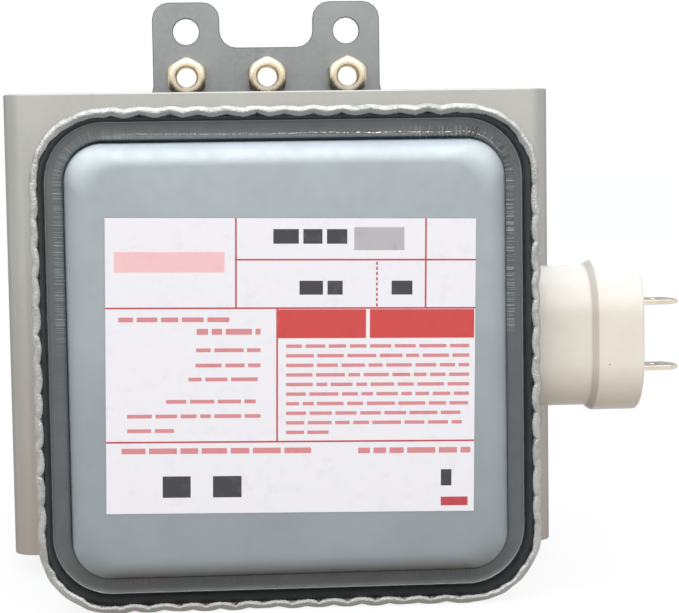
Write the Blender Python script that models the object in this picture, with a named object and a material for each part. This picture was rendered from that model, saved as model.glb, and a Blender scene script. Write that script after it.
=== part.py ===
"""Oven magnetron with its magnets, cooling fins, yoke, mounting plate and filter box.

The tube lies along Y.  Every size is in metres.  In the tube's own coordinates x is to
the right, y runs along the tube towards the antenna and z is up, with y = 0 on the outer
face of the mounting plate.  The root empty then puts the world origin in the middle of
the underside, on which the part stands.
"""

import math

import bmesh
import bpy
from mathutils import Vector

# Clearance left between pieces that touch or pass through each other
GAP = 0.0003

# Yoke, a U of steel strip whose arms run back to the mounting plate
YOKE_WIDTH = 0.0948
YOKE_HEIGHT = 0.080
YOKE_SHEET = 0.0015
YOKE_BEND = 0.0022
YOKE_INNER_LENGTH = 0.0622
STEM_HOLE_CLEARANCE = 0.0018
TENON_BREADTH = 0.0120
TENON_SPACING = 0.0400

# Mounting plate with two ears and three nuts
PLATE_SHEET = 0.0016
PLATE_CORNER = 0.0030
PLATE_FILLET = 0.0040
TAB_RISE = 0.0210
EAR_SPAN = 0.0468
EAR_BREADTH = 0.0138
EAR_DEPTH = 0.0093
EAR_ROUND = 0.0034
EAR_HOLE = 0.0054
EAR_HOLE_DROP = 0.0060
NUT_DROP = 0.0062
NUT_FLATS = 0.0076
NUT_THICKNESS = 0.0040
NUT_BORE = 0.0040
ANTENNA_HOLE_CLEARANCE = 0.0008

# Filter box and its crimped lid
HEM_WIDTH = 0.0802
HEM_HEIGHT = 0.0796
HEM_CORNER = 0.0115
BOX_DROP = 0.0035
BOX_DEPTH = 0.0310
BOX_SHEET = 0.0006
BOX_BOTTOM_ROUND = 0.0015
BOX_RIM_DEPTH = 0.0017
LID_SHEET = 0.0006
HEM_LEG = 0.0030
HEM_BREADTH = 0.0025
GROOVE_DEPTH = 0.0060
PANEL_INSET = 0.0054
PANEL_CORNER = 0.0060
PANEL_EDGE_BREADTH = 0.0038
PANEL_EDGE_DEPTH = 0.0018
PANEL_RISE = 0.0002
CRIMP_PITCH = 0.0045
CRIMP_COUNT = 12
CRIMP_INWARD = 0.00040
CRIMP_OUTWARD = 0.00015
LABEL_WIDTH = 0.0581
LABEL_HEIGHT = 0.0465
LABEL_SHIFT = 0.0003
LABEL_DROP = 0.0009
LABEL_TURN_DEGREES = -1.0
LABEL_LIFT = 0.0007
LABEL_PAPER = 0.00015
LABEL_CORNER = 0.0004
RIVET_SPREAD_X = 0.0300
RIVET_SPREAD_Z = 0.0270
RIVET_SHANK = 0.0032
RIVET_HEAD = 0.0066
RIVET_HEAD_HEIGHT = 0.0012

# Feed-through capacitor on the right wall of the box
CAPACITOR_DEPTH = 0.0165
CAPACITOR_DROP = 0.0020
EARTH_PLATE_SIDE_BORDER = 0.0017
EARTH_PLATE_END_BORDER = 0.0041
EARTH_PLATE_SHEET = 0.0010
EARTH_PLATE_MARGIN = 0.0028
SMALL_RIVET_SHANK = 0.0024
SMALL_RIVET_HEAD = 0.0046
SMALL_RIVET_HEAD_HEIGHT = 0.0008
NECK_HEIGHT = 0.0235
NECK_WIDTH = 0.0156
NECK_LENGTH = 0.0097
HEAD_HEIGHT = 0.0252
HEAD_WIDTH = 0.0174
HEAD_LENGTH = 0.0082
CASE_WALL = 0.0014
CASE_ROUND = 0.0012
CASE_RAMP = 0.0012
POTTING_RECESS = 0.0010
CERAMIC_CLEARANCE = 0.0009
CERAMIC_LENGTH = 0.0130
TERMINAL_PITCH = 0.0110
TAB_WIDTH = 0.00635
TAB_THICKNESS = 0.0008
TAB_REACH = 0.0075
TAB_HOLE = 0.0016
TERMINAL_ROD = 0.0022
INNER_REACH = 0.0075

# Chokes between the capacitor and the stem
CHOKE_WIRE = 0.0014
CHOKE_TURNS = 7
CHOKE_PITCH = 0.0030
CORE_DIAMETER = 0.0050
CORE_LENGTH = 0.0230
CHOKE_OFFSET = 0.0190

# Magnets and fins
MAGNET_DIAMETER = 0.0550
MAGNET_BORE_CLEARANCE = 0.0005
MAGNET_THICKNESS = 0.0125
MAGNET_EDGE = 0.0007
FIN_COUNT = 6
FIN_SHEET = 0.0006
FIN_HEIGHT = 0.0680
FIN_PITCH = 0.0044
FIN_COLLAR = 0.0024
FIN_TAB = 0.0032

# Vacuum tube
ANODE_DIAMETER = 0.0385
ANODE_WALL = 0.0018
VANE_COUNT = 10
VANE_THICKNESS = 0.0019
VANE_LENGTH = 0.0095
VANE_TIP_RADIUS = 0.0045
STRAP_INNER_RADIUS = 0.0060
STRAP_OUTER_RADIUS = 0.0076
STRAP_WIDTH = 0.0009
STRAP_HEIGHT = 0.0012
POLE_SHEET = 0.0016
POLE_DISH_RADIUS = 0.0130
POLE_NOSE_RADIUS = 0.0066
POLE_BORE = 0.0094
POLE_TO_VANE = 0.0030
ANTENNA_SLOT = 0.0056
SLEEVE_DIAMETER = 0.0204
SLEEVE_WALL = 0.0006
SLEEVE_FLANGE_INSET = 0.0022
OUTPUT_SLEEVE_RISE = 0.0052
INPUT_SLEEVE_RISE = 0.0026
OUTPUT_CERAMIC_DIAMETER = 0.0166
OUTPUT_CERAMIC_BORE = 0.0120
OUTPUT_CERAMIC_LENGTH = 0.0110
SEAL_THICKNESS = 0.0008
CAP_DIAMETER = 0.0150
CAP_LENGTH = 0.0125
CAP_WALL = 0.0006
CAP_ROUND = 0.0020
EXHAUST_DIAMETER = 0.0060
EXHAUST_WALL = 0.0008
EXHAUST_LENGTH = 0.0100
ANTENNA_ROD = 0.0024
ANTENNA_ROOT_RADIUS = 0.0098
GASKET_DIAMETER = 0.0360
GASKET_HEIGHT = 0.0045
STEM_DIAMETER = 0.0172
STEM_LENGTH = 0.0095
STEM_BORE = 0.0022
STEM_PITCH = 0.0080
STEM_PIN_REACH = 0.0030
LEAD_DIAMETER = 0.0012
FILAMENT_DIAMETER = 0.0039
FILAMENT_WIRE = 0.0005
FILAMENT_TURNS = 6
END_HAT_DIAMETER = 0.0072
END_HAT_THICKNESS = 0.0010
LEAD_OFFSET = 0.0027

# Faceting
ROUND_SIDES = 28
INNER_SIDES = 18
SMALL_SIDES = 12
RIVET_SIDES = 10
ARC_STEPS = 5
CRIMP_COLUMNS = 3
CASE_ROUND_STEPS = 3
ON_AXIS = 1e-7

# Where the layers lie along the tube
PLATE_BACK = -PLATE_SHEET
BASE_FRONT = PLATE_BACK - YOKE_INNER_LENGTH
BASE_BACK = BASE_FRONT - YOKE_SHEET
BOX_FLOOR = BASE_BACK - GAP
HEM_FACE = BOX_FLOOR - BOX_DEPTH
MAGNET_OUT = PLATE_BACK - GAP - MAGNET_THICKNESS
MAGNET_IN = BASE_FRONT + GAP + MAGNET_THICKNESS
POLE_OUT = MAGNET_OUT - 2 * GAP - SLEEVE_WALL
POLE_IN = MAGNET_IN + 2 * GAP + SLEEVE_WALL
ANODE_OUT = POLE_OUT - POLE_SHEET - GAP
ANODE_IN = POLE_IN + POLE_SHEET + GAP
ANODE_MIDDLE = (ANODE_OUT + ANODE_IN) / 2
VANE_OUT = ANODE_MIDDLE + VANE_LENGTH / 2
VANE_IN = ANODE_MIDDLE - VANE_LENGTH / 2
SLEEVE_TOP = OUTPUT_SLEEVE_RISE
CERAMIC_TOP = SLEEVE_TOP + GAP + OUTPUT_CERAMIC_LENGTH
SEAL_TOP = CERAMIC_TOP + GAP + SEAL_THICKNESS
CAP_TOP = SEAL_TOP + GAP + CAP_LENGTH
STEM_SEAT = BOX_FLOOR - BOX_SHEET - INPUT_SLEEVE_RISE
STEM_END = STEM_SEAT - GAP - STEM_LENGTH

# Bores round the sleeves and the outlines that follow the capacitor's case
YOKE_STEM_HOLE = SLEEVE_DIAMETER + 2 * STEM_HOLE_CLEARANCE
ANTENNA_HOLE = SLEEVE_DIAMETER + 2 * ANTENNA_HOLE_CLEARANCE
MAGNET_BORE = SLEEVE_DIAMETER + 2 * MAGNET_BORE_CLEARANCE
SLEEVE_FLANGE = ANODE_DIAMETER - 2 * SLEEVE_FLANGE_INSET
EARTH_PLATE_WIDTH = NECK_WIDTH + 2 * EARTH_PLATE_SIDE_BORDER
EARTH_PLATE_HEIGHT = NECK_HEIGHT + 2 * EARTH_PLATE_END_BORDER
CERAMIC_WIDTH = NECK_WIDTH - 2 * CASE_WALL - 2 * CERAMIC_CLEARANCE
CERAMIC_HEIGHT = NECK_HEIGHT - 2 * CASE_WALL - 2 * CERAMIC_CLEARANCE

# Heights of the mounting plate's edges and holes
PLATE_SHOULDER = YOKE_HEIGHT / 2
EAR_TOP = PLATE_SHOULDER + TAB_RISE
EAR_VALLEY = EAR_TOP - EAR_DEPTH
EAR_HOLE_HEIGHT = EAR_TOP - EAR_HOLE_DROP
NUT_HEIGHT = EAR_VALLEY - NUT_DROP
HOLE_PITCH = EAR_SPAN - EAR_BREADTH

# Where the rest lies across the tube
BOX_HALF_WIDTH = HEM_WIDTH / 2 - LID_SHEET - GAP
BOX_HALF_HEIGHT = HEM_HEIGHT / 2 - LID_SHEET - GAP
BOX_CORNER = HEM_CORNER - LID_SHEET - GAP
BOX_CENTRE = -BOX_DROP
UNDERSIDE = BOX_CENTRE - HEM_HEIGHT / 2
CAPACITOR_Y = HEM_FACE + CAPACITOR_DEPTH
CAPACITOR_Z = -CAPACITOR_DROP
EARTH_PLATE_X = BOX_HALF_WIDTH + GAP
CASE_X = EARTH_PLATE_X + EARTH_PLATE_SHEET + GAP
CASE_STEP_X = CASE_X + NECK_LENGTH
CASE_END_X = CASE_STEP_X + HEAD_LENGTH
TAB_END_X = CASE_END_X + TAB_REACH
INNER_END_X = BOX_HALF_WIDTH - BOX_SHEET - INNER_REACH

# Overall box, from which the root is placed
LABEL_FACE = HEM_FACE - LABEL_LIFT
MIDDLE_X = (TAB_END_X - YOKE_WIDTH / 2) / 2
MIDDLE_Y = (CAP_TOP + LABEL_FACE) / 2


def make_material(name, colour, roughness, metallic):
    material = bpy.data.materials.new(name)
    material.use_nodes = True
    shader = material.node_tree.nodes["Principled BSDF"]
    shader.inputs["Base Color"].default_value = (*colour, 1.0)
    shader.inputs["Roughness"].default_value = roughness
    shader.inputs["Metallic"].default_value = metallic
    material.diffuse_color = (*colour, 1.0)
    return material


def clear_scene():
    for thing in list(bpy.data.objects):
        bpy.data.objects.remove(thing, do_unlink=True)


def place(thing, root):
    bpy.context.scene.collection.objects.link(thing)
    thing.parent = root
    return thing


class Builder:
    """Makes named objects under the root, each with a material of its own."""

    def __init__(self, root):
        self.root = root

    def from_bmesh(self, name, bm, look, smooth=True):
        bmesh.ops.recalc_face_normals(bm, faces=bm.faces)
        mesh = bpy.data.meshes.new(name)
        bm.to_mesh(mesh)
        bm.free()
        mesh.materials.append(make_material(name, *look))
        thing = place(bpy.data.objects.new(name, mesh), self.root)
        if smooth:
            mesh.shade_smooth()
            mesh.set_sharp_from_angle(angle=math.radians(35))
        return thing

    def wire(self, name, points, diameter, look, resolution=1):
        """A round wire along the points, closed at both ends."""
        curve = bpy.data.curves.new(name, "CURVE")
        curve.dimensions = "3D"
        curve.bevel_depth = diameter / 2
        curve.bevel_resolution = resolution
        curve.use_fill_caps = True
        spline = curve.splines.new("POLY")
        spline.points.add(len(points) - 1)
        for target, point in zip(spline.points, points):
            target.co = (*point, 1.0)
        spline.use_smooth = True
        curve.materials.append(make_material(name, *look))
        return place(bpy.data.objects.new(name, curve), self.root)

    def level_shading(self):
        """Keeps the flat faces of the cut pieces flat to the eye."""
        for thing in self.root.children:
            if thing.type == "MESH" and not thing.hide_render:
                modifier = thing.modifiers.new("level shading", "WEIGHTED_NORMAL")
                modifier.keep_sharp = True
                modifier.weight = 100

    def cut(self, target, tool, operation="DIFFERENCE"):
        """Booleans the target with a helper object, which stays out of the part."""
        tool.hide_render = True
        tool.display_type = "WIRE"
        modifier = target.modifiers.new(tool.name, "BOOLEAN")
        modifier.operation = operation
        modifier.solver = "EXACT"
        modifier.object = tool


# Outlines, as lists of two coordinates

def circle(radius, sides, centre=(0.0, 0.0)):
    step = math.tau / sides
    return [
        (centre[0] + radius * math.cos(step * i), centre[1] + radius * math.sin(step * i))
        for i in range(sides)
    ]


def filleted(corners, steps=ARC_STEPS):
    """A polygon of (x, y, radius) corners with each corner rounded by its radius."""
    outline = []
    for before, corner, after in zip(corners[-1:] + corners[:-1], corners, corners[1:] + corners[:1]):
        point = Vector(corner[:2])
        radius = corner[2]
        if radius <= 0:
            outline.append(tuple(point))
            continue
        to_before = (Vector(before[:2]) - point).normalized()
        to_after = (Vector(after[:2]) - point).normalized()
        half = to_before.angle(to_after) / 2
        centre = point + (to_before + to_after).normalized() * (radius / math.sin(half))
        start = point + to_before * (radius / math.tan(half)) - centre
        turn = start.angle_signed(point + to_after * (radius / math.tan(half)) - centre)
        for i in range(steps + 1):
            angle = -turn * i / steps
            outline.append((
                centre.x + start.x * math.cos(angle) - start.y * math.sin(angle),
                centre.y + start.x * math.sin(angle) + start.y * math.cos(angle),
            ))
    return outline


def rounded_rectangle(half_width, half_height, radius, centre=(0.0, 0.0), steps=ARC_STEPS):
    x, y = centre
    return filleted([
        (x + half_width, y - half_height, radius),
        (x + half_width, y + half_height, radius),
        (x - half_width, y + half_height, radius),
        (x - half_width, y - half_height, radius),
    ], steps)


def stadium(width, height, centre=(0.0, 0.0), steps=6):
    """Two half circles joined by straight sides, taller than wide."""
    radius = width / 2
    rise = height / 2 - radius
    outline = []
    for turn, shift in ((0.0, rise), (math.pi, -rise)):
        for i in range(steps + 1):
            angle = turn + math.pi * i / steps
            outline.append((
                centre[0] + radius * math.cos(angle),
                centre[1] + shift + radius * math.sin(angle),
            ))
    return outline


def offset_path(path, distance):
    """The open path moved sideways to its right by the distance, with mitred corners."""
    moved = []
    for i, point in enumerate(path):
        normals = []
        for a, b in ((i - 1, i), (i, i + 1)):
            if a < 0 or b >= len(path):
                continue
            along = (Vector(path[b]) - Vector(path[a])).normalized()
            normals.append(Vector((along.y, -along.x)))
        normal = sum(normals, Vector((0.0, 0.0))).normalized()
        moved.append(tuple(Vector(point) + normal * (distance / normal.dot(normals[0]))))
    return moved


# Solids

def join_rings(bm, first, second):
    """Faces between two closed rings, or between a ring and a single point."""
    if len(first) == 1 and len(second) == 1:
        return
    count = max(len(first), len(second))
    for i in range(count):
        j = (i + 1) % count
        if len(first) == 1:
            bm.faces.new((first[0], second[j], second[i]))
        elif len(second) == 1:
            bm.faces.new((first[i], first[j], second[0]))
        else:
            bm.faces.new((first[i], first[j], second[j], second[i]))


def add_ring(bm, points):
    return [bm.verts.new(point) for point in points]


def turned(section, sides=ROUND_SIDES, centre=(0.0, 0.0)):
    """A closed section of (radius, y) points turned about a line along Y."""
    bm = bmesh.new()
    rings = []
    for radius, y in section:
        if radius < ON_AXIS:
            rings.append(add_ring(bm, [(centre[0], y, centre[1])]))
        else:
            rings.append(add_ring(bm, [(x, y, z) for x, z in circle(radius, sides, centre)]))
    for first, second in zip(rings, rings[1:] + rings[:1]):
        join_rings(bm, first, second)
    return bm


def lofted(rings, closed=False):
    """Rings of equally many points joined in order, capped at the ends or joined round."""
    bm = bmesh.new()
    loops = [add_ring(bm, ring) for ring in rings]
    for first, second in zip(loops, loops[1:]):
        join_rings(bm, first, second)
    if closed:
        join_rings(bm, loops[-1], loops[0])
    else:
        bm.faces.new(loops[0])
        bm.faces.new(loops[-1])
    return bm


def plate(outline, y_from, y_to, holes=()):
    """A flat plate across Y with its holes, filled and then given its thickness."""
    bm = bmesh.new()
    edges = []
    for loop in (outline, *holes):
        verts = add_ring(bm, [(x, y_from, z) for x, z in loop])
        edges += [bm.edges.new(pair) for pair in zip(verts, verts[1:] + verts[:1])]
    bmesh.ops.triangle_fill(bm, edges=edges, use_beauty=True, use_dissolve=False)
    result = bmesh.ops.extrude_face_region(bm, geom=bm.faces[:])
    moved = [item for item in result["geom"] if isinstance(item, bmesh.types.BMVert)]
    bmesh.ops.translate(bm, verts=moved, vec=(0.0, y_to - y_from, 0.0))
    return bm


def prism_along_x(outline, x_from, x_to):
    """A (y, z) outline drawn along X."""
    return lofted([[(x, y, z) for y, z in outline] for x in (x_from, x_to)])


def prism_along_z(outline, z_from, z_to):
    """An (x, y) outline drawn along Z."""
    return lofted([[(x, y, z) for x, y in outline] for z in (z_from, z_to)])


def tube_section(outer, inner, y_from, y_to, edge=0.0):
    """The section of a ring, with its four edges broken by the edge width."""
    if edge <= 0:
        return [(outer, y_from), (outer, y_to), (inner, y_to), (inner, y_from)]
    return [
        (outer - edge, y_from), (outer, y_from + edge),
        (outer, y_to - edge), (outer - edge, y_to),
        (inner + edge, y_to), (inner, y_to - edge),
        (inner, y_from + edge), (inner + edge, y_from),
    ]


def rod_section(radius, y_from, y_to, edge=0.0):
    if edge <= 0:
        return [(0.0, y_from), (radius, y_from), (radius, y_to), (0.0, y_to)]
    return [
        (0.0, y_from), (radius - edge, y_from), (radius, y_from + edge),
        (radius, y_to - edge), (radius - edge, y_to), (0.0, y_to),
    ]


# Looks, as colour, roughness and metallic value
GALVANISED = ((0.43, 0.44, 0.41), 0.42, 0.9)
LID_STEEL = ((0.38, 0.42, 0.44), 0.34, 0.9)
PLATE_STEEL = ((0.33, 0.35, 0.35), 0.38, 0.9)
NICKEL = ((0.62, 0.55, 0.46), 0.30, 1.0)
TINNED = ((0.62, 0.57, 0.46), 0.28, 1.0)
COPPER = ((0.72, 0.35, 0.20), 0.30, 1.0)
ENAMEL = ((0.45, 0.16, 0.06), 0.35, 0.2)
ALUMINIUM = ((0.80, 0.81, 0.82), 0.30, 1.0)
FERRITE = ((0.06, 0.06, 0.065), 0.60, 0.0)
SOFT_IRON = ((0.45, 0.45, 0.46), 0.35, 1.0)
TUNGSTEN = ((0.30, 0.30, 0.32), 0.45, 1.0)
ALUMINA = ((0.88, 0.86, 0.82), 0.45, 0.0)
CREAM = ((0.82, 0.78, 0.68), 0.38, 0.0)
EPOXY = ((0.55, 0.50, 0.40), 0.35, 0.0)
PAPER = ((0.86, 0.86, 0.90), 0.35, 0.0)
KNITTED = ((0.55, 0.55, 0.56), 0.55, 1.0)


def build_yoke(build):
    """A strip bent twice into a U, with tenons that reach into the mounting plate."""
    half = YOKE_WIDTH / 2
    outer_bend = YOKE_BEND + YOKE_SHEET
    end = PLATE_BACK + PLATE_SHEET
    inside = half - YOKE_SHEET
    outline = filleted([
        (half, end, 0), (inside, end, 0),
        (inside, BASE_FRONT, YOKE_BEND), (-inside, BASE_FRONT, YOKE_BEND),
        (-inside, end, 0), (-half, end, 0),
        (-half, BASE_BACK, outer_bend), (half, BASE_BACK, outer_bend),
    ])
    yoke = build.from_bmesh(
        "yoke_frame", prism_along_z(outline, -YOKE_HEIGHT / 2, YOKE_HEIGHT / 2), GALVANISED)
    reach = YOKE_SHEET * 3
    hole = build.from_bmesh("yoke_stem_cutter", turned(
        rod_section(YOKE_STEM_HOLE / 2, BASE_BACK - reach, BASE_FRONT + reach)), GALVANISED)
    build.cut(yoke, hole)
    for x, z in rivet_places():
        rivet_hole = build.from_bmesh("yoke_rivet_cutter", turned(
            rod_section(RIVET_SHANK / 2 + GAP, BASE_BACK - reach, BASE_FRONT + reach),
            RIVET_SIDES, (x, z)), GALVANISED)
        build.cut(yoke, rivet_hole)
    near, far = tenon_edges()
    steps = (
        (-YOKE_HEIGHT, -far), (-near, near), (far, YOKE_HEIGHT),
    )
    for low, high in steps:
        for side in (-1, 1):
            notch = [
                (side * (inside - reach), PLATE_BACK - GAP), (side * (half + reach), PLATE_BACK - GAP),
                (side * (half + reach), end + reach), (side * (inside - reach), end + reach),
            ]
            block = build.from_bmesh("yoke_tenon_cutter", prism_along_z(notch, low, high), GALVANISED)
            build.cut(yoke, block)


def tenon_edges():
    """Heights of the near and far edges of the upper tenon, above the axis."""
    return (TENON_SPACING - TENON_BREADTH) / 2, (TENON_SPACING + TENON_BREADTH) / 2


def rivet_places():
    return [
        (x, BOX_CENTRE + z)
        for z in (-RIVET_SPREAD_Z, RIVET_SPREAD_Z)
        for x in (-RIVET_SPREAD_X, RIVET_SPREAD_X)
    ]


def build_mounting_plate(build):
    """The plate's right half outline is listed upwards and mirrored for the left."""
    half = YOKE_WIDTH / 2
    notch = half - YOKE_SHEET - GAP
    near, far = tenon_edges()
    right = [(half, UNDERSIDE, PLATE_CORNER)]
    for low, high in ((-far, -near), (near, far)):
        right += [
            (half, low - GAP, 0), (notch, low - GAP, 0),
            (notch, high + GAP, 0), (half, high + GAP, 0),
        ]
    ear_inside = EAR_SPAN / 2 - EAR_BREADTH
    right += [
        (half, PLATE_SHOULDER, PLATE_CORNER),
        (EAR_SPAN / 2, PLATE_SHOULDER, PLATE_FILLET),
        (EAR_SPAN / 2, EAR_TOP, EAR_ROUND),
        (ear_inside, EAR_TOP, EAR_ROUND),
        (ear_inside, EAR_VALLEY, EAR_ROUND),
    ]
    left = [(-x, z, radius) for x, z, radius in reversed(right)]
    holes = [circle(ANTENNA_HOLE / 2, ROUND_SIDES)]
    for x in (-HOLE_PITCH / 2, HOLE_PITCH / 2):
        holes.append(circle(EAR_HOLE / 2, 16, (x, EAR_HOLE_HEIGHT)))
    for x in nut_places():
        holes.append(circle(NUT_BORE / 2 + GAP, SMALL_SIDES, (x, NUT_HEIGHT)))
    build.from_bmesh(
        "mounting_plate", plate(filleted(right + left, 4), PLATE_BACK, 0.0, holes), PLATE_STEEL)


def nut_places():
    return (-HOLE_PITCH / 2, 0.0, HOLE_PITCH / 2)


def build_nuts(build):
    """Hexagon nuts, each with a corner up and the corners chamfered at the open end."""
    sides = 18
    across = NUT_FLATS / 2
    face_radius = across * 0.97
    seat = PLATE_BACK - GAP
    front = seat - NUT_THICKNESS
    bore = NUT_BORE / 2
    for number, x in enumerate(nut_places(), 1):
        centre = (x, NUT_HEIGHT)
        hexagon = []
        for i in range(sides):
            angle = math.tau * i / sides
            # distance to the nearest flat's line, with corners at the top and bottom
            turn = math.remainder(angle, math.pi / 3)
            hexagon.append((angle, across / math.cos(turn)))
        chamfered = [
            (x + radius * math.cos(angle), front + (radius - face_radius) * math.tan(math.radians(30)),
             NUT_HEIGHT + radius * math.sin(angle))
            for angle, radius in hexagon
        ]
        seated = [
            (x + radius * math.cos(angle), seat, NUT_HEIGHT + radius * math.sin(angle))
            for angle, radius in hexagon
        ]
        rings = [chamfered, seated]
        for radius, y in ((bore, seat), (bore, front + 0.0005), (bore * 1.18, front), (face_radius, front)):
            rings.append([(px, y, pz) for px, pz in circle(radius, sides, centre)])
        build.from_bmesh("nut_%d" % number, lofted(rings, closed=True), NICKEL)


def box_ring(inset, y, half_width=BOX_HALF_WIDTH, half_height=BOX_HALF_HEIGHT, corner=BOX_CORNER):
    outline = rounded_rectangle(
        half_width - inset, half_height - inset, corner - inset, (0.0, BOX_CENTRE))
    return [(x, y, z) for x, z in outline]


def build_filter_box(build):
    """A drawn tray that opens towards the lid."""
    rim = HEM_FACE + BOX_RIM_DEPTH
    bottom_round = BOX_BOTTOM_ROUND
    inner_round = bottom_round - BOX_SHEET
    floor_inside = BOX_FLOOR - BOX_SHEET
    rings = []
    steps = 2
    for i in range(steps + 1):
        angle = math.pi / 2 * i / steps
        rings.append(box_ring(
            bottom_round * (1 - math.sin(angle)), BOX_FLOOR - bottom_round * (1 - math.cos(angle))))
    rings += [box_ring(0.0, rim), box_ring(BOX_SHEET, rim)]
    for i in range(steps + 1):
        angle = math.pi / 2 * (1 - i / steps)
        rings.append(box_ring(
            BOX_SHEET + inner_round * (1 - math.sin(angle)),
            floor_inside - inner_round * (1 - math.cos(angle))))
    box = build.from_bmesh("filter_box", lofted(rings), GALVANISED)
    reach = BOX_SHEET * 4
    hole = build.from_bmesh("box_stem_cutter", turned(rod_section(
        YOKE_STEM_HOLE / 2, floor_inside - reach, BOX_FLOOR + reach)), GALVANISED)
    build.cut(box, hole)
    for x, z in rivet_places():
        rivet_hole = build.from_bmesh("box_rivet_cutter", turned(
            rod_section(RIVET_SHANK / 2 + GAP, floor_inside - reach, BOX_FLOOR + reach),
            RIVET_SIDES, (x, z)), GALVANISED)
        build.cut(box, rivet_hole)
    window = stadium(CERAMIC_WIDTH + 2 * GAP, CERAMIC_HEIGHT + 2 * GAP, (CAPACITOR_Y, CAPACITOR_Z))
    cut_out = build.from_bmesh("box_window_cutter", prism_along_x(
        window, BOX_HALF_WIDTH - reach, BOX_HALF_WIDTH + reach), GALVANISED)
    build.cut(box, cut_out)
    for y, z in capacitor_rivet_places():
        rivet_hole = build.from_bmesh("box_wall_rivet_cutter", prism_along_x(
            circle(SMALL_RIVET_SHANK / 2 + GAP, RIVET_SIDES, (y, z)),
            BOX_HALF_WIDTH - reach, BOX_HALF_WIDTH + reach), GALVANISED)
        build.cut(box, rivet_hole)


def build_box_rivets(build):
    """Four rivets hold the floor of the box to the base of the yoke."""
    inside = BOX_FLOOR - BOX_SHEET - GAP
    outside = BASE_FRONT + GAP
    head = RIVET_HEAD / 2
    shank = RIVET_SHANK / 2
    section = [
        (0.0, inside - RIVET_HEAD_HEIGHT), (head * 0.55, inside - RIVET_HEAD_HEIGHT * 0.85),
        (head, inside), (shank, inside), (shank, outside),
        (head * 0.8, outside), (head * 0.7, outside + RIVET_HEAD_HEIGHT * 0.6),
        (0.0, outside + RIVET_HEAD_HEIGHT * 0.6),
    ]
    for number, centre in enumerate(rivet_places(), 1):
        build.from_bmesh("box_rivet_%d" % number, turned(section, RIVET_SIDES, centre), SOFT_IRON)


# The lid

def crimped_ring(inset, y, inward=0.0, outward=0.0):
    """A hem outline whose straight sides carry the crimps.

    Each crimp is a notch that pushes the outside out, with a scallop on each side that
    bulges in.  The corners stay plain.
    """
    half_width = HEM_WIDTH / 2
    half_height = HEM_HEIGHT / 2
    columns = CRIMP_COUNT * CRIMP_COLUMNS
    radius = HEM_CORNER - inset
    points = []
    for quarter in range(4):
        angle = math.pi / 2 * quarter
        across, along = (half_width, half_height) if quarter % 2 == 0 else (half_height, half_width)
        sideways = Vector((math.cos(angle), math.sin(angle)))
        forward = Vector((-math.sin(angle), math.cos(angle)))
        start = sideways * (across - inset)
        for i in range(columns + 1):
            scallop = abs(math.sin(math.pi * i / CRIMP_COLUMNS))
            shift = inward * scallop - outward * (1 - scallop)
            travel = CRIMP_PITCH * (i / CRIMP_COLUMNS - CRIMP_COUNT / 2)
            points.append(start - sideways * shift + forward * travel)
        corner = sideways * (across - HEM_CORNER) + forward * (along - HEM_CORNER)
        for i in range(ARC_STEPS + 1):
            turn = math.pi / 2 * i / ARC_STEPS
            points.append(corner + sideways * (radius * math.cos(turn)) + forward * (radius * math.sin(turn)))
    return [(point.x, y, point.y + BOX_CENTRE) for point in points]


def plain_ring(inset, y):
    """The same outline without crimps, so each straight side is one edge."""
    radius = max(HEM_CORNER - inset, PANEL_CORNER)
    outline = rounded_rectangle(
        HEM_WIDTH / 2 - inset, HEM_HEIGHT / 2 - inset, radius, (0.0, BOX_CENTRE))
    return [(x, y, z) for x, z in outline]


def join_crimped_to_plain(bm, fine, coarse):
    """Faces from the crimped ring to the plain one: fans on the sides, quads on the corners."""
    columns = CRIMP_COUNT * CRIMP_COLUMNS + 1
    arc = ARC_STEPS + 1
    side = columns + arc
    for quarter in range(4):
        first = quarter * side
        corner = (quarter * arc + arc) % (4 * arc)
        before = coarse[corner - 1] if corner else coarse[4 * arc - 1]
        after = coarse[corner]
        run = [fine[(first - 1) % (4 * side)]] + fine[first:first + columns + 1]
        middle = len(run) // 2
        for i in range(middle):
            bm.faces.new((run[i], run[i + 1], before))
        bm.faces.new((run[middle], after, before))
        for i in range(middle, len(run) - 1):
            bm.faces.new((run[i], run[i + 1], after))
        for i in range(ARC_STEPS):
            bm.faces.new((
                fine[first + columns + i], fine[first + columns + i + 1],
                coarse[corner + i + 1], coarse[corner + i]))


def lid_section():
    """The visible face of the lid from the foot of the hem's leg to the panel.

    The points are (inset from the hem's outside, depth behind the hem's face).  The first
    list is the crimped hem, with how far its scallops and notches reach; the second is
    the groove and the panel's edge.
    """
    hem = [
        (0.00015, 0.0005, 0.0, 1.0),
        (0.0008, 0.0, 0.2, 0.5),
        (HEM_BREADTH * 0.70, 0.0004, 0.8, 0.0),
        (HEM_BREADTH * 0.94, 0.0016, 1.0, 0.0),
    ]
    floor_start = HEM_BREADTH + 0.0005
    groove = [
        (HEM_BREADTH, GROOVE_DEPTH - 0.0019),
        (floor_start + 0.0004, GROOVE_DEPTH - 0.0003),
        (PANEL_INSET - 0.0011, GROOVE_DEPTH),
        (PANEL_INSET, GROOVE_DEPTH - 0.0014),
    ]
    steps = 4
    for i in range(steps + 1):
        angle = math.pi / 2 * i / steps
        groove.append((
            PANEL_INSET + PANEL_EDGE_BREADTH * (1 - math.cos(angle)),
            PANEL_EDGE_DEPTH * (1 - math.sin(angle)) - PANEL_RISE,
        ))
    return hem, groove


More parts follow.
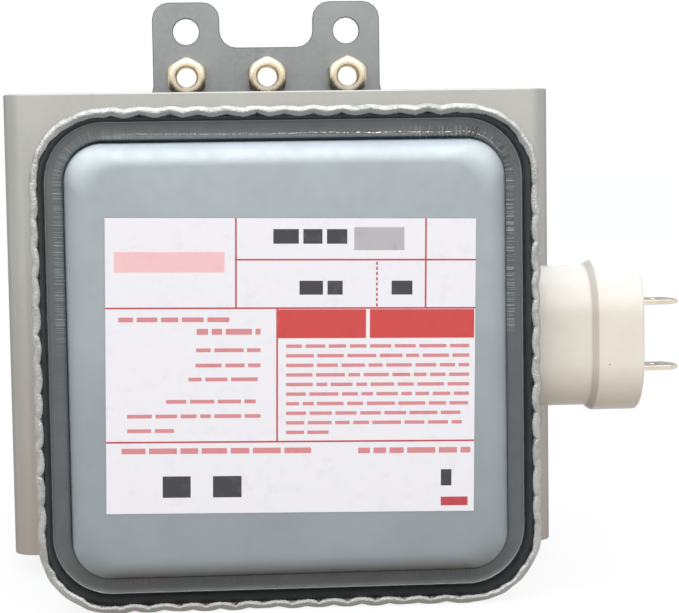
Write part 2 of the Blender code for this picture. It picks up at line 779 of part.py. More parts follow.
def build_filter_lid(build):
    """A drawn lid: crimped hem over the box's rim, a groove, and a raised panel."""
    hem, groove = lid_section()
    visible = [(0.0, HEM_LEG)] + [row[:2] for row in hem] + groove
    hidden = offset_path(visible, -LID_SHEET)
    # the crest's back, which the box's rim hides, needs no row of its own
    del hidden[2]
    bm = bmesh.new()
    foot = add_ring(bm, plain_ring(0.0, HEM_FACE + HEM_LEG))
    fine = [
        add_ring(bm, crimped_ring(inset, HEM_FACE + depth, CRIMP_INWARD * inward, CRIMP_OUTWARD * outward))
        for inset, depth, inward, outward in hem
    ]
    coarse = [add_ring(bm, plain_ring(inset, HEM_FACE + depth)) for inset, depth in groove]
    back = [add_ring(bm, plain_ring(inset, HEM_FACE + depth)) for inset, depth in hidden]
    join_crimped_to_plain(bm, fine[0], foot)
    for first, second in zip(fine, fine[1:]):
        join_rings(bm, first, second)
    join_crimped_to_plain(bm, fine[-1], coarse[0])
    for first, second in zip(coarse, coarse[1:]):
        join_rings(bm, first, second)
    bm.faces.new(coarse[-1])
    for first, second in zip(back, back[1:]):
        join_rings(bm, first, second)
    bm.faces.new(back[-1])
    join_rings(bm, back[0], foot)
    build.from_bmesh("filter_lid", bm, LID_STEEL)


def build_label(build):
    """A paper label on the panel, a little below its middle and slightly askew."""
    square = rounded_rectangle(LABEL_WIDTH / 2, LABEL_HEIGHT / 2, LABEL_CORNER, (0.0, 0.0), 2)
    turn = math.radians(LABEL_TURN_DEGREES)
    outline = [
        (LABEL_SHIFT + x * math.cos(turn) - z * math.sin(turn),
         BOX_CENTRE - LABEL_DROP + x * math.sin(turn) + z * math.cos(turn))
        for x, z in square
    ]
    paper = plate(outline, LABEL_FACE, LABEL_FACE + LABEL_PAPER)
    build.from_bmesh("label", paper, PAPER, smooth=False)


# The capacitor

def capacitor_rivet_places():
    reach_y = EARTH_PLATE_WIDTH / 2 - EARTH_PLATE_MARGIN
    reach_z = EARTH_PLATE_HEIGHT / 2 - EARTH_PLATE_MARGIN
    return [
        (CAPACITOR_Y + y, CAPACITOR_Z + z)
        for z in (-reach_z, reach_z)
        for y in (-reach_y, reach_y)
    ]


def stadium_ring(width, height, x):
    return [(x, y, z) for y, z in stadium(width, height, (CAPACITOR_Y, CAPACITOR_Z))]


def terminal_heights():
    return (CAPACITOR_Z + TERMINAL_PITCH / 2, CAPACITOR_Z - TERMINAL_PITCH / 2)


def build_capacitor(build):
    """Earth plate, stepped case, potting, ceramic body and inner sleeve, bored for the rods."""
    centre = (CAPACITOR_Y, CAPACITOR_Z)
    outline = rounded_rectangle(
        EARTH_PLATE_WIDTH / 2, EARTH_PLATE_HEIGHT / 2, 0.0020, centre, 3)
    window = stadium(CERAMIC_WIDTH + 2 * GAP, CERAMIC_HEIGHT + 2 * GAP, centre)
    earth_plate = build.from_bmesh("capacitor_earth_plate", prism_along_x(
        outline, EARTH_PLATE_X, EARTH_PLATE_X + EARTH_PLATE_SHEET), TINNED)
    reach = EARTH_PLATE_SHEET * 2
    cut_out = build.from_bmesh("earth_plate_cutter", prism_along_x(
        window, EARTH_PLATE_X - reach, CASE_X + reach), TINNED)
    build.cut(earth_plate, cut_out)
    for place_y, place_z in capacitor_rivet_places():
        rivet_hole = build.from_bmesh("earth_plate_rivet_cutter", prism_along_x(
            circle(SMALL_RIVET_SHANK / 2 + GAP, RIVET_SIDES, (place_y, place_z)),
            EARTH_PLATE_X - reach, CASE_X + reach), TINNED)
        build.cut(earth_plate, rivet_hole)

    bore_height = NECK_HEIGHT - 2 * CASE_WALL
    bore_width = NECK_WIDTH - 2 * CASE_WALL
    rings = [
        stadium_ring(NECK_WIDTH, NECK_HEIGHT, CASE_X),
        stadium_ring(NECK_WIDTH, NECK_HEIGHT, CASE_STEP_X - CASE_RAMP / 2),
        stadium_ring(HEAD_WIDTH, HEAD_HEIGHT, CASE_STEP_X + CASE_RAMP / 2),
    ]
    for step in range(CASE_ROUND_STEPS + 1):
        angle = math.pi / 2 * step / CASE_ROUND_STEPS
        inset = 2 * CASE_ROUND * (1 - math.cos(angle))
        rings.append(stadium_ring(
            HEAD_WIDTH - inset, HEAD_HEIGHT - inset,
            CASE_END_X - CASE_ROUND * (1 - math.sin(angle))))
    rings.append(stadium_ring(bore_width, bore_height, CASE_END_X))
    rings.append(stadium_ring(bore_width, bore_height, CASE_X))
    build.from_bmesh("capacitor_case", lofted(rings, closed=True), CREAM)

    ceramic_start = BOX_HALF_WIDTH - BOX_SHEET - GAP - CERAMIC_LENGTH / 4
    ceramic_end = ceramic_start + CERAMIC_LENGTH
    potting = build.from_bmesh("capacitor_potting", lofted([
        stadium_ring(bore_width - 2 * GAP, bore_height - 2 * GAP, x)
        for x in (ceramic_end + GAP, CASE_END_X - POTTING_RECESS)
    ]), EPOXY)
    ceramic = build.from_bmesh("capacitor_ceramic", lofted([
        stadium_ring(CERAMIC_WIDTH, CERAMIC_HEIGHT, x) for x in (ceramic_start, ceramic_end)
    ]), ALUMINA)
    sleeve = build.from_bmesh("capacitor_sleeve", lofted([
        stadium_ring(CERAMIC_WIDTH - 0.0016, CERAMIC_HEIGHT - 0.0016, x)
        for x in (INNER_END_X + INNER_REACH / 4, ceramic_start - GAP)
    ]), CREAM)
    bore = TERMINAL_ROD / 2 + GAP
    for body in (potting, ceramic, sleeve):
        for z in terminal_heights():
            hole = build.from_bmesh("rod_cutter", prism_along_x(
                circle(bore, 12, (CAPACITOR_Y, z)), INNER_END_X - reach, TAB_END_X), EPOXY)
            build.cut(body, hole)


def build_terminals(build):
    """Blade tabs with a hole and a chamfered tip, each on a rod that runs into the box."""
    half = TAB_WIDTH / 2
    chamfer = 0.0010
    root_x = CASE_END_X - POTTING_RECESS + GAP
    for name, z in zip(("terminal_upper", "terminal_lower"), terminal_heights()):
        outline = [
            (root_x, CAPACITOR_Y - half), (TAB_END_X - chamfer, CAPACITOR_Y - half),
            (TAB_END_X, CAPACITOR_Y - half + chamfer), (TAB_END_X, CAPACITOR_Y + half - chamfer),
            (TAB_END_X - chamfer, CAPACITOR_Y + half), (root_x, CAPACITOR_Y + half),
        ]
        tab = build.from_bmesh(name, prism_along_z(
            outline, z - TAB_THICKNESS / 2, z + TAB_THICKNESS / 2), TINNED)
        eye = circle(TAB_HOLE / 2, 12, ((root_x + TAB_END_X) / 2, CAPACITOR_Y))
        hole = build.from_bmesh("tab_cutter", prism_along_z(
            eye, z - TAB_THICKNESS, z + TAB_THICKNESS), TINNED)
        build.cut(tab, hole)
        rod = build.from_bmesh("rod_core", prism_along_x(
            circle(TERMINAL_ROD / 2, 12, (CAPACITOR_Y, z)), INNER_END_X, root_x + 0.0012), TINNED)
        build.cut(tab, rod, "UNION")


def build_capacitor_rivets(build):
    inside = BOX_HALF_WIDTH - BOX_SHEET - GAP
    outside = CASE_X
    head = SMALL_RIVET_HEAD / 2
    shank = SMALL_RIVET_SHANK / 2
    height = SMALL_RIVET_HEAD_HEIGHT
    for number, centre in enumerate(capacitor_rivet_places(), 1):
        stack = [
            (head * 0.55, inside - height), (head * 0.8, inside), (shank, inside),
            (shank, outside), (head, outside), (head * 0.6, outside + height),
        ]
        rings = [[(x, y, z) for y, z in circle(radius, RIVET_SIDES, centre)] for radius, x in stack]
        build.from_bmesh("capacitor_rivet_%d" % number, lofted(rings), SOFT_IRON)


# The chokes

def choke_route(side, stem_x):
    """A close coil along X, with one lead to the capacitor and one to the stem."""
    radius = CORE_DIAMETER / 2 + GAP + CHOKE_WIRE / 2
    z_axis = CAPACITOR_Z + side * CHOKE_OFFSET
    z_rod = CAPACITOR_Z + side * TERMINAL_PITCH / 2
    steps = 7
    length = CHOKE_TURNS * CHOKE_PITCH
    start_x = choke_middle() + length / 2
    coil = []
    for i in range(CHOKE_TURNS * steps + 1):
        angle = math.tau * i / steps
        coil.append((
            start_x - CHOKE_PITCH * i / steps,
            CAPACITOR_Y - radius * math.sin(angle),
            z_axis - side * radius * math.cos(angle),
        ))
    end_x, end_y, end_z = coil[-1]
    joint_x = INNER_END_X - GAP - CHOKE_WIRE / 2
    lead_in = [
        (joint_x, CAPACITOR_Y, z_rod - side * TERMINAL_ROD / 2),
        (joint_x, CAPACITOR_Y, z_rod + side * TERMINAL_ROD),
        (start_x + CHOKE_PITCH * 0.6, CAPACITOR_Y, end_z - side * CHOKE_WIRE),
    ]
    pin_y = STEM_END - STEM_PIN_REACH - GAP - CHOKE_WIRE / 2
    lead_out = [
        (end_x - CHOKE_PITCH * 0.5, end_y, end_z - side * CHOKE_WIRE),
        (stem_x, pin_y, side * STEM_PITCH / 2),
        (stem_x, pin_y, -side * CHOKE_WIRE / 2),
    ]
    return lead_in + coil + lead_out


def choke_middle():
    return (INNER_END_X - STEM_PITCH) / 2


def build_chokes(build):
    for name, core_name, side in (
        ("choke_upper", "core_upper", 1),
        ("choke_lower", "core_lower", -1),
    ):
        stem_x = -side * STEM_PITCH / 2
        build.wire(name, choke_route(side, stem_x), CHOKE_WIRE, ENAMEL)
        outline = circle(CORE_DIAMETER / 2, SMALL_SIDES, (CAPACITOR_Y, CAPACITOR_Z + side * CHOKE_OFFSET))
        middle = choke_middle()
        build.from_bmesh(core_name, prism_along_x(
            outline, middle - CORE_LENGTH / 2, middle + CORE_LENGTH / 2), FERRITE)


# Magnets, fins and the vacuum tube

def build_magnets(build):
    for name, start in (("magnet_output", MAGNET_OUT), ("magnet_input", BASE_FRONT + GAP)):
        outer = MAGNET_DIAMETER / 2
        inner = MAGNET_BORE / 2
        end = start + MAGNET_THICKNESS
        edge = MAGNET_EDGE
        section = [
            (outer - edge, start), (outer, start + edge), (outer, end - edge),
            (outer - edge, end), (inner, end), (inner, start),
        ]
        build.from_bmesh(name, turned(section), FERRITE)


def fin_mesh():
    """One fin: a sheet with a collar round the anode and a bent tab at each yoke arm."""
    half_height = FIN_HEIGHT / 2
    reach = YOKE_WIDTH / 2 - YOKE_SHEET - GAP
    bend = 0.0012
    flat = reach - bend
    bore = ANODE_DIAMETER / 2 + GAP
    collar = bore + FIN_SHEET
    sides = 20
    bm = bmesh.new()
    corners = [(flat, -half_height), (flat, half_height), (-flat, half_height), (-flat, -half_height)]
    levels = ((0.0, bore), (FIN_SHEET, collar))
    sheets = []
    for y, radius in levels:
        outer = add_ring(bm, [(x, y, z) for x, z in corners])
        inner = add_ring(bm, [(x, y, z) for x, z in circle(radius, sides)])
        edges = []
        for loop in (outer, inner):
            edges += [bm.edges.new(pair) for pair in zip(loop, loop[1:] + loop[:1])]
        bmesh.ops.triangle_fill(bm, edges=edges, use_beauty=True)
        sheets.append((outer, inner))
    (low, low_hole), (high, high_hole) = sheets
    lip = [
        add_ring(bm, [(x, FIN_SHEET + FIN_COLLAR, z) for x, z in circle(radius, sides)])
        for radius in (bore, collar)
    ]
    join_rings(bm, low_hole, lip[0])
    join_rings(bm, lip[0], lip[1])
    join_rings(bm, lip[1], high_hole)
    # the two long edges between the tabs
    bm.faces.new((low[1], low[2], high[2], high[1]))
    bm.faces.new((low[3], low[0], high[0], high[3]))
    # each tab turns towards +Y in two steps and then runs straight
    for side, (a, b) in ((1, (0, 1)), (-1, (3, 2))):
        previous = [low[a], low[b], high[b], high[a]]
        stations = [
            ((flat + bend * 0.7, bend * 0.3), (flat + bend * 0.7 - FIN_SHEET * 0.7, bend * 0.3 + FIN_SHEET * 0.7)),
            ((reach, bend), (reach - FIN_SHEET, bend)),
            ((reach, FIN_TAB), (reach - FIN_SHEET, FIN_TAB)),
        ]
        for outside, inside in stations:
            current = [
                bm.verts.new((side * outside[0], outside[1], previous[0].co.z)),
                bm.verts.new((side * outside[0], outside[1], previous[1].co.z)),
                bm.verts.new((side * inside[0], inside[1], previous[1].co.z)),
                bm.verts.new((side * inside[0], inside[1], previous[0].co.z)),
            ]
            join_rings(bm, previous, current)
            previous = current
        bm.faces.new(previous)
    return bm


def build_fins(build):
    first = ANODE_MIDDLE - FIN_PITCH * (FIN_COUNT - 1) / 2 - FIN_COLLAR / 2
    for number in range(FIN_COUNT):
        fin = build.from_bmesh("cooling_fin_%d" % (number + 1), fin_mesh(), ALUMINIUM)
        fin.location.y = first + FIN_PITCH * number


def build_anode(build):
    """A copper cylinder with vanes, grooved at both ends of the vanes for the straps."""
    outer = ANODE_DIAMETER / 2
    inner = outer - ANODE_WALL
    anode = build.from_bmesh("anode_block", turned(
        tube_section(outer, inner, ANODE_IN, ANODE_OUT)), COPPER)
    groove_inner = STRAP_INNER_RADIUS - STRAP_WIDTH / 2 - GAP
    groove_outer = STRAP_OUTER_RADIUS + STRAP_WIDTH / 2 + GAP
    depth = STRAP_HEIGHT + GAP
    vanes = bmesh.new()
    root = inner + ANODE_WALL / 2
    profile = [
        (VANE_TIP_RADIUS, VANE_IN), (groove_inner, VANE_IN), (groove_inner, VANE_IN + depth),
        (groove_outer, VANE_IN + depth), (groove_outer, VANE_IN), (root, VANE_IN),
        (root, VANE_OUT), (groove_outer, VANE_OUT), (groove_outer, VANE_OUT - depth),
        (groove_inner, VANE_OUT - depth), (groove_inner, VANE_OUT), (VANE_TIP_RADIUS, VANE_OUT),
    ]
    for number in range(VANE_COUNT):
        angle = math.tau * (number + 0.5) / VANE_COUNT
        outward = Vector((math.cos(angle), 0.0, math.sin(angle)))
        sideways = Vector((-math.sin(angle), 0.0, math.cos(angle))) * (VANE_THICKNESS / 2)
        loops = []
        for shift in (-sideways, sideways):
            loops.append(add_ring(vanes, [outward * r + shift + Vector((0.0, y, 0.0)) for r, y in profile]))
        join_rings(vanes, loops[0], loops[1])
        vanes.faces.new(loops[0])
        vanes.faces.new(loops[1])
    helper = build.from_bmesh("vane_core", vanes, COPPER)
    build.cut(anode, helper, "UNION")


def build_straps(build):
    """Two rings at each end of the vanes, which join every other vane."""
    for end, y in (("input", VANE_IN), ("output", VANE_OUT - STRAP_HEIGHT)):
        for place_name, radius in (("inner", STRAP_INNER_RADIUS), ("outer", STRAP_OUTER_RADIUS)):
            section = tube_section(
                radius + STRAP_WIDTH / 2, radius - STRAP_WIDTH / 2, y, y + STRAP_HEIGHT)
            build.from_bmesh("strap_%s_%s" % (end, place_name), turned(section, INNER_SIDES), COPPER)


def pole_section(flange_face, direction):
    """Dished pole piece; direction points from its flange into the tube."""
    nose = ANODE_MIDDLE - direction * (VANE_LENGTH / 2 + POLE_TO_VANE)
    outer = ANODE_DIAMETER / 2
    back = flange_face + direction * POLE_SHEET
    slope = POLE_SHEET * 0.5
    return [
        (outer, flange_face), (outer, back),
        (POLE_DISH_RADIUS + slope, back), (POLE_NOSE_RADIUS + slope, nose),
        (POLE_BORE / 2, nose), (POLE_BORE / 2, nose - direction * POLE_SHEET),
        (POLE_NOSE_RADIUS - slope, nose - direction * POLE_SHEET),
        (POLE_DISH_RADIUS - slope, flange_face),
    ]


def build_pole_pieces(build):
    build.from_bmesh("input_pole_piece", turned(pole_section(POLE_IN, 1), INNER_SIDES), SOFT_IRON)
    output = build.from_bmesh("output_pole_piece", turned(pole_section(POLE_OUT, -1), INNER_SIDES), SOFT_IRON)
    hole = build.from_bmesh("antenna_slot_cutter", turned(
        rod_section(ANTENNA_SLOT / 2, VANE_OUT, POLE_OUT + POLE_SHEET),
        12, (ANTENNA_ROOT_RADIUS * 0.9, 0.0)), SOFT_IRON)
    build.cut(output, hole)


def build_sleeves(build):
    """Sealing sleeves, each with a flange on its pole piece, that pass through the magnets."""
    radius = SLEEVE_DIAMETER / 2
    inner = radius - SLEEVE_WALL
    for name, flange, direction, end, neck in (
        ("output_sleeve", POLE_OUT + GAP, 1, SLEEVE_TOP, OUTPUT_CERAMIC_DIAMETER / 2),
        ("input_sleeve", POLE_IN - GAP, -1, STEM_SEAT, STEM_DIAMETER / 2),
    ):
        top = flange + direction * SLEEVE_WALL
        section = [
            (SLEEVE_FLANGE / 2, flange), (SLEEVE_FLANGE / 2, top), (radius, top),
            (radius, end - direction * 0.0016), (neck, end), (neck - SLEEVE_WALL * 2, end),
            (inner, end - direction * 0.0022), (inner, flange),
        ]
        build.from_bmesh(name, turned(section, INNER_SIDES), SOFT_IRON)


def build_output(build):
    """Ceramic window, sealing disc, exhaust tube and the cap that radiates."""
    outer = OUTPUT_CERAMIC_DIAMETER / 2
    build.from_bmesh("output_ceramic", turned(tube_section(
        outer, OUTPUT_CERAMIC_BORE / 2, SLEEVE_TOP + GAP, CERAMIC_TOP), 24), ALUMINA)
    exhaust = EXHAUST_DIAMETER / 2
    build.from_bmesh("output_seal", turned(tube_section(
        outer, exhaust + GAP, CERAMIC_TOP + GAP, SEAL_TOP), 24), SOFT_IRON)
    tube_start = CERAMIC_TOP - OUTPUT_CERAMIC_LENGTH / 4
    tube_end = tube_start + EXHAUST_LENGTH
    bore = exhaust - EXHAUST_WALL
    build.from_bmesh("exhaust_tube", turned([
        (exhaust, tube_start), (exhaust, tube_end - 0.0030), (exhaust * 0.45, tube_end - 0.0008),
        (exhaust * 0.4, tube_end), (0.0, tube_end), (0.0, tube_end - 0.0022),
        (bore, tube_end - 0.0034), (bore, tube_start),
    ], SMALL_SIDES), COPPER)
    cap = CAP_DIAMETER / 2
    start = SEAL_TOP + GAP
    section = [(cap, start)]
    steps = 3
    for i in range(steps + 1):
        angle = math.pi / 2 * i / steps
        section.append((
            cap - CAP_ROUND * (1 - math.cos(angle)), CAP_TOP - CAP_ROUND * (1 - math.sin(angle))))
    section.append((0.0, CAP_TOP))
    section.append((0.0, CAP_TOP - CAP_WALL))
    inner_round = CAP_ROUND - CAP_WALL
    section.append((cap - CAP_WALL - inner_round, CAP_TOP - CAP_WALL))
    section.append((cap - CAP_WALL, CAP_TOP - CAP_WALL - inner_round))
    section.append((cap - CAP_WALL, start))
    build.from_bmesh("antenna_cap", turned(section, 24), NICKEL)
    radius = SLEEVE_DIAMETER / 2 + GAP
    build.from_bmesh("rf_gasket", turned(tube_section(
        GASKET_DIAMETER / 2, radius, GAP, GAP + GASKET_HEIGHT, 0.0010), 24), KNITTED)


def build_antenna_lead(build):
    """A copper rod from the end of one vane, through the pole piece, to the exhaust tube."""
    root = ANTENNA_ROOT_RADIUS
    nose = VANE_OUT + POLE_TO_VANE
    middle = (nose + POLE_OUT) / 2
    tip = CERAMIC_TOP - OUTPUT_CERAMIC_LENGTH / 4 + EXHAUST_LENGTH / 2
    points = [
        (root, VANE_OUT + GAP, 0.0),
        (root, nose, 0.0),
        (root * 0.94, middle, 0.0),
        (root * 0.78, POLE_OUT, 0.0),
        (root * 0.30, MAGNET_OUT + MAGNET_THICKNESS / 2, 0.0),
        (root * 0.06, MAGNET_OUT + MAGNET_THICKNESS * 0.8, 0.0),
        (0.0, PLATE_BACK, 0.0),
        (0.0, tip, 0.0),
    ]
    build.wire("antenna_lead", points, ANTENNA_ROD, COPPER, 2)


def build_stem(build):
    """The ceramic foot of the cathode inside the filter box, bored for the two leads."""
    bores = [circle(STEM_BORE / 2, 12, (x, 0.0)) for x in (-STEM_PITCH / 2, STEM_PITCH / 2)]
    build.from_bmesh("stem_ceramic", plate(
        circle(STEM_DIAMETER / 2, 24), STEM_END, STEM_SEAT - GAP, bores), ALUMINA)


def build_cathode(build):
    """Filament between two end hats, with the centre lead and the side lead."""
    half = VANE_LENGTH / 2
    low = ANODE_MIDDLE - half
    high = ANODE_MIDDLE + half
    hat = END_HAT_DIAMETER / 2
    lead = LEAD_DIAMETER / 2
    build.from_bmesh("end_hat_output", turned(
        rod_section(hat, high, high + END_HAT_THICKNESS, 0.0002), SMALL_SIDES), TUNGSTEN)
    build.from_bmesh("end_hat_input", turned(tube_section(
        hat, lead + GAP, low - END_HAT_THICKNESS, low), SMALL_SIDES), TUNGSTEN)
    steps = 8
    radius = (FILAMENT_DIAMETER - FILAMENT_WIRE) / 2
    start = low + GAP + FILAMENT_WIRE / 2
    end = high - GAP - FILAMENT_WIRE / 2
    count = FILAMENT_TURNS * steps
    coil = []
    for i in range(count + 1):
        angle = math.tau * i / steps
        y = start + (end - start) * i / count
        coil.append((radius * math.cos(angle), y, radius * math.sin(angle)))
    build.wire("cathode_filament", coil, FILAMENT_WIRE, TUNGSTEN, 0)
    pin = STEM_END - STEM_PIN_REACH
    bend = BASE_FRONT
    drop = 0.0050
    x = STEM_PITCH / 2
    build.wire("centre_lead", [
        (-x, pin, 0.0), (-x, bend, 0.0), (-x * 0.85, bend + drop * 0.3, 0.0),
        (-x * 0.15, bend + drop, 0.0), (0.0, bend + drop * 1.3, 0.0), (0.0, high - GAP, 0.0),
    ], LEAD_DIAMETER, TUNGSTEN)
    build.wire("side_lead", [
        (x, pin, 0.0), (x, bend, 0.0), (x * 0.92, bend + drop * 0.3, 0.0),
        (LEAD_OFFSET * 1.08, bend + drop, 0.0), (LEAD_OFFSET, bend + drop * 1.3, 0.0),
        (LEAD_OFFSET, low - END_HAT_THICKNESS - GAP, 0.0),
    ], LEAD_DIAMETER, TUNGSTEN)


def main():
    clear_scene()
    root = bpy.data.objects.new("magnetron", None)
    bpy.context.scene.collection.objects.link(root)
    root.location = (-MIDDLE_X, -MIDDLE_Y, -UNDERSIDE)
    build = Builder(root)
    build_yoke(build)
    build_mounting_plate(build)
    build_nuts(build)
    build_filter_box(build)
    build_box_rivets(build)
    build_filter_lid(build)
    build_label(build)
    build_capacitor(build)
    build_terminals(build)
    build_capacitor_rivets(build)
    build_chokes(build)
    build_magnets(build)
    build_fins(build)
    build_anode(build)
    build_straps(build)
    build_pole_pieces(build)
    build_sleeves(build)
    build_output(build)
    build_antenna_lead(build)
    build_stem(build)
    build_cathode(build)
    build.level_shading()


main()
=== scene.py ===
"""Oven magnetron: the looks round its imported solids, laid out as an add-on.

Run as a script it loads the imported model, puts finer pieces in place of those that show
most, gives every piece its material and sets the stage.  Lengths are in metres; tables
of sections and print are in millimetres and are scaled where they are used.
"""

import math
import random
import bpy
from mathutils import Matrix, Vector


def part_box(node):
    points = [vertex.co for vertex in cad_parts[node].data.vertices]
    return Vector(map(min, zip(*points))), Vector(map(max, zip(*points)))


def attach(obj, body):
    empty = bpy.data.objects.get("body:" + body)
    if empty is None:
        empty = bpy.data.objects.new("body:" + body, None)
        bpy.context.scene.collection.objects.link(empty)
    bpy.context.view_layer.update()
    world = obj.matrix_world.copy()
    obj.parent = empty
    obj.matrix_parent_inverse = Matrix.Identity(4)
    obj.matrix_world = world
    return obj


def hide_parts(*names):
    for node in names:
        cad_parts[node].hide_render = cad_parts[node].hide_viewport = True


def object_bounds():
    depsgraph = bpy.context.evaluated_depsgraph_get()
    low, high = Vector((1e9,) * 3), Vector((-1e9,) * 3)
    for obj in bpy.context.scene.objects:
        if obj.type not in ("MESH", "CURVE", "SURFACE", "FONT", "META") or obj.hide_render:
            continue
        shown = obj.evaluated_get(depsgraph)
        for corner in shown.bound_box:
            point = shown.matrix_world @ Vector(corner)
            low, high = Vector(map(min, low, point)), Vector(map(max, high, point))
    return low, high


bl_info = {
    "name": "Oven magnetron",
    "version": (1, 0, 0),
    "blender": (4, 5, 0),
    "location": "3D View > Sidebar > Magnetron",
    "description": "Builds the visible pieces, materials and stage of an oven magnetron",
    "category": "Object",
}

import bmesh
import bpy
from bpy.props import FloatProperty, PointerProperty
from mathutils import Matrix, Vector, noise

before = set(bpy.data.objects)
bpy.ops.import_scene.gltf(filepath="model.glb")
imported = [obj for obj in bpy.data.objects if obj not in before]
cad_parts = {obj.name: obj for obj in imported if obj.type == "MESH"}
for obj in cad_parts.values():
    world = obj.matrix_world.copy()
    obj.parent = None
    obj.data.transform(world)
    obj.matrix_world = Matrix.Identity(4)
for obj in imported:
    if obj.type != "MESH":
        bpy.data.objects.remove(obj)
CAD_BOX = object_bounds()

MM = 0.001
BODY = "root"
LID_LOW, LID_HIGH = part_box("filter_lid")
LABEL_LOW, LABEL_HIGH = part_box("label")
CERAMIC_LOW, CERAMIC_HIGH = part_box("output_ceramic")
AXIS_X = (CERAMIC_LOW.x + CERAMIC_HIGH.x) / 2
AXIS_Z = (CERAMIC_LOW.z + CERAMIC_HIGH.z) / 2
PANEL_RISE = 0.2 * MM
HEM_CENTRE = Vector(((LID_LOW.x + LID_HIGH.x) / 2, LID_LOW.y + PANEL_RISE,
                     (LID_LOW.z + LID_HIGH.z) / 2))


# Helpers for materials

def linear(hex_colour):
    """A linear colour from an sRGB hex value."""
    channels = []
    for i in (1, 3, 5):
        value = int(hex_colour[i:i + 2], 16) / 255
        channels.append(value / 12.92 if value <= 0.04045 else ((value + 0.055) / 1.055) ** 2.4)
    return (*channels, 1.0)


def add_node(tree, kind, inputs=None, **settings):
    """Adds a shader node; inputs maps its sockets to values or to the sockets that feed them."""
    node = tree.nodes.new("ShaderNode" + kind)
    for name, value in settings.items():
        setattr(node, name, value)
    for name, value in (inputs or {}).items():
        if isinstance(value, bpy.types.NodeSocket):
            tree.links.new(value, node.inputs[name])
        else:
            node.inputs[name].default_value = value
    return node


def start_material(name, colour, roughness, metallic=0.0, **sockets):
    """A new material with its shader, and the surface's place in metres."""
    material = bpy.data.materials.new(name)
    material.use_nodes = True
    tree = material.node_tree
    shader = tree.nodes["Principled BSDF"]
    shader.inputs["Base Color"].default_value = linear(colour)
    shader.inputs["Roughness"].default_value = roughness
    shader.inputs["Metallic"].default_value = metallic
    for socket, value in sockets.items():
        shader.inputs[socket.replace("_", " ")].default_value = value
    material.diffuse_color = linear(colour)
    place = add_node(tree, "TexCoord").outputs["Object"]
    return material, tree, shader, place


def speckle(tree, place, size_mm, detail=2.0, stretch=(1, 1, 1)):
    """Noise whose grains are about this many millimetres across."""
    scaled = add_node(tree, "Mapping", {"Vector": place, "Scale": stretch})
    grain = add_node(tree, "TexNoise", {
        "Vector": scaled.outputs["Vector"], "Scale": 1 / (size_mm * MM), "Detail": detail})
    return grain.outputs["Fac"]


def spread(tree, value, low, high, start=0.3, end=0.7):
    """Turns noise into a value between low and high."""
    return add_node(tree, "MapRange", {
        "Value": value, "From Min": start, "From Max": end,
        "To Min": low, "To Max": high}).outputs["Result"]


def emboss(tree, shader, height, depth_mm, before=None):
    """A bump of this depth on the shader, on top of an earlier one."""
    inputs = {"Height": height, "Strength": 1.0, "Distance": depth_mm * MM}
    if before is not None:
        inputs["Normal"] = before.outputs["Normal"]
    bump = add_node(tree, "Bump", inputs)
    tree.links.new(bump.outputs["Normal"], shader.inputs["Normal"])
    return bump


def mix_colours(tree, share, first, second):
    """The first colour, mixed by this share with the second."""
    mix = add_node(tree, "Mix", {0: share, 6: first, 7: second}, data_type="RGBA")
    return mix.outputs[2]


def tint(tree, colour, share, tone):
    """A colour mixed by this share with a tone that is written in hex."""
    return mix_colours(tree, share, colour, linear(tone))


def clouded(tree, place, size_mm, colour, shade, detail=2.0, start=0.3, end=0.7):
    """A colour that drifts into a second shade in clouds of this size."""
    clouds = spread(tree, speckle(tree, place, size_mm, detail), 0.0, 1.0, start, end)
    return tint(tree, linear(colour), clouds, shade)


def flat_noise(tree, vector, scale):
    """Noise on a map, scaled along and across."""
    mapped = add_node(tree, "Mapping", {"Vector": vector, "Scale": (*scale, 1.0)})
    return add_node(
        tree, "TexNoise", {"Vector": mapped.outputs["Vector"], "Scale": 1.0, "Detail": 2.0},
        noise_dimensions="2D").outputs["Fac"]


def combine(tree, operation, *values):
    """The sum, the product or another combination of several values."""
    result = values[0]
    for value in values[1:]:
        result = add_node(tree, "Math", {0: result, 1: value}, operation=operation).outputs[0]
    return result


def product(tree, *factors):
    """The product of several values."""
    return combine(tree, "MULTIPLY", *factors)


def band(tree, value, low, high, soft):
    """One between low and high, and nothing beyond."""
    rise = spread(tree, value, 0.0, 1.0, low - soft, low)
    fall = spread(tree, value, 1.0, 0.0, high, high + soft)
    return product(tree, rise, fall)


# Materials of this object's finishes

def zinc_sheet(name, light, dark, roughness, painted_shade_box=None):
    """Zinc-plated steel sheet, rolled and pressed: soft broad reflections, slightly cloudy."""
    material, tree, shader, place = start_material(name, light, roughness, 1.0)
    clouds = spread(tree, speckle(tree, place, 14.0), 0.0, 1.0)
    grain = spread(tree, speckle(tree, place, 0.9, 3.0), 0.3, 1.0)
    colour = tint(tree, linear(light), product(tree, clouds, grain), dark)
    # given the strip's box, its lower half and its two bends get painted shade
    if painted_shade_box is not None:
        colour = add_specks_and_painted_shade(tree, place, colour, *painted_shade_box)
    tree.links.new(colour, shader.inputs["Base Color"])
    tree.links.new(spread(tree, speckle(tree, place, 5.0), roughness - 0.03, roughness + 0.04),
                   shader.inputs["Roughness"])
    # orange peel 0.6 mm across, only microns deep on rolled sheet
    emboss(tree, shader, speckle(tree, place, 0.6), 0.006)
    return material


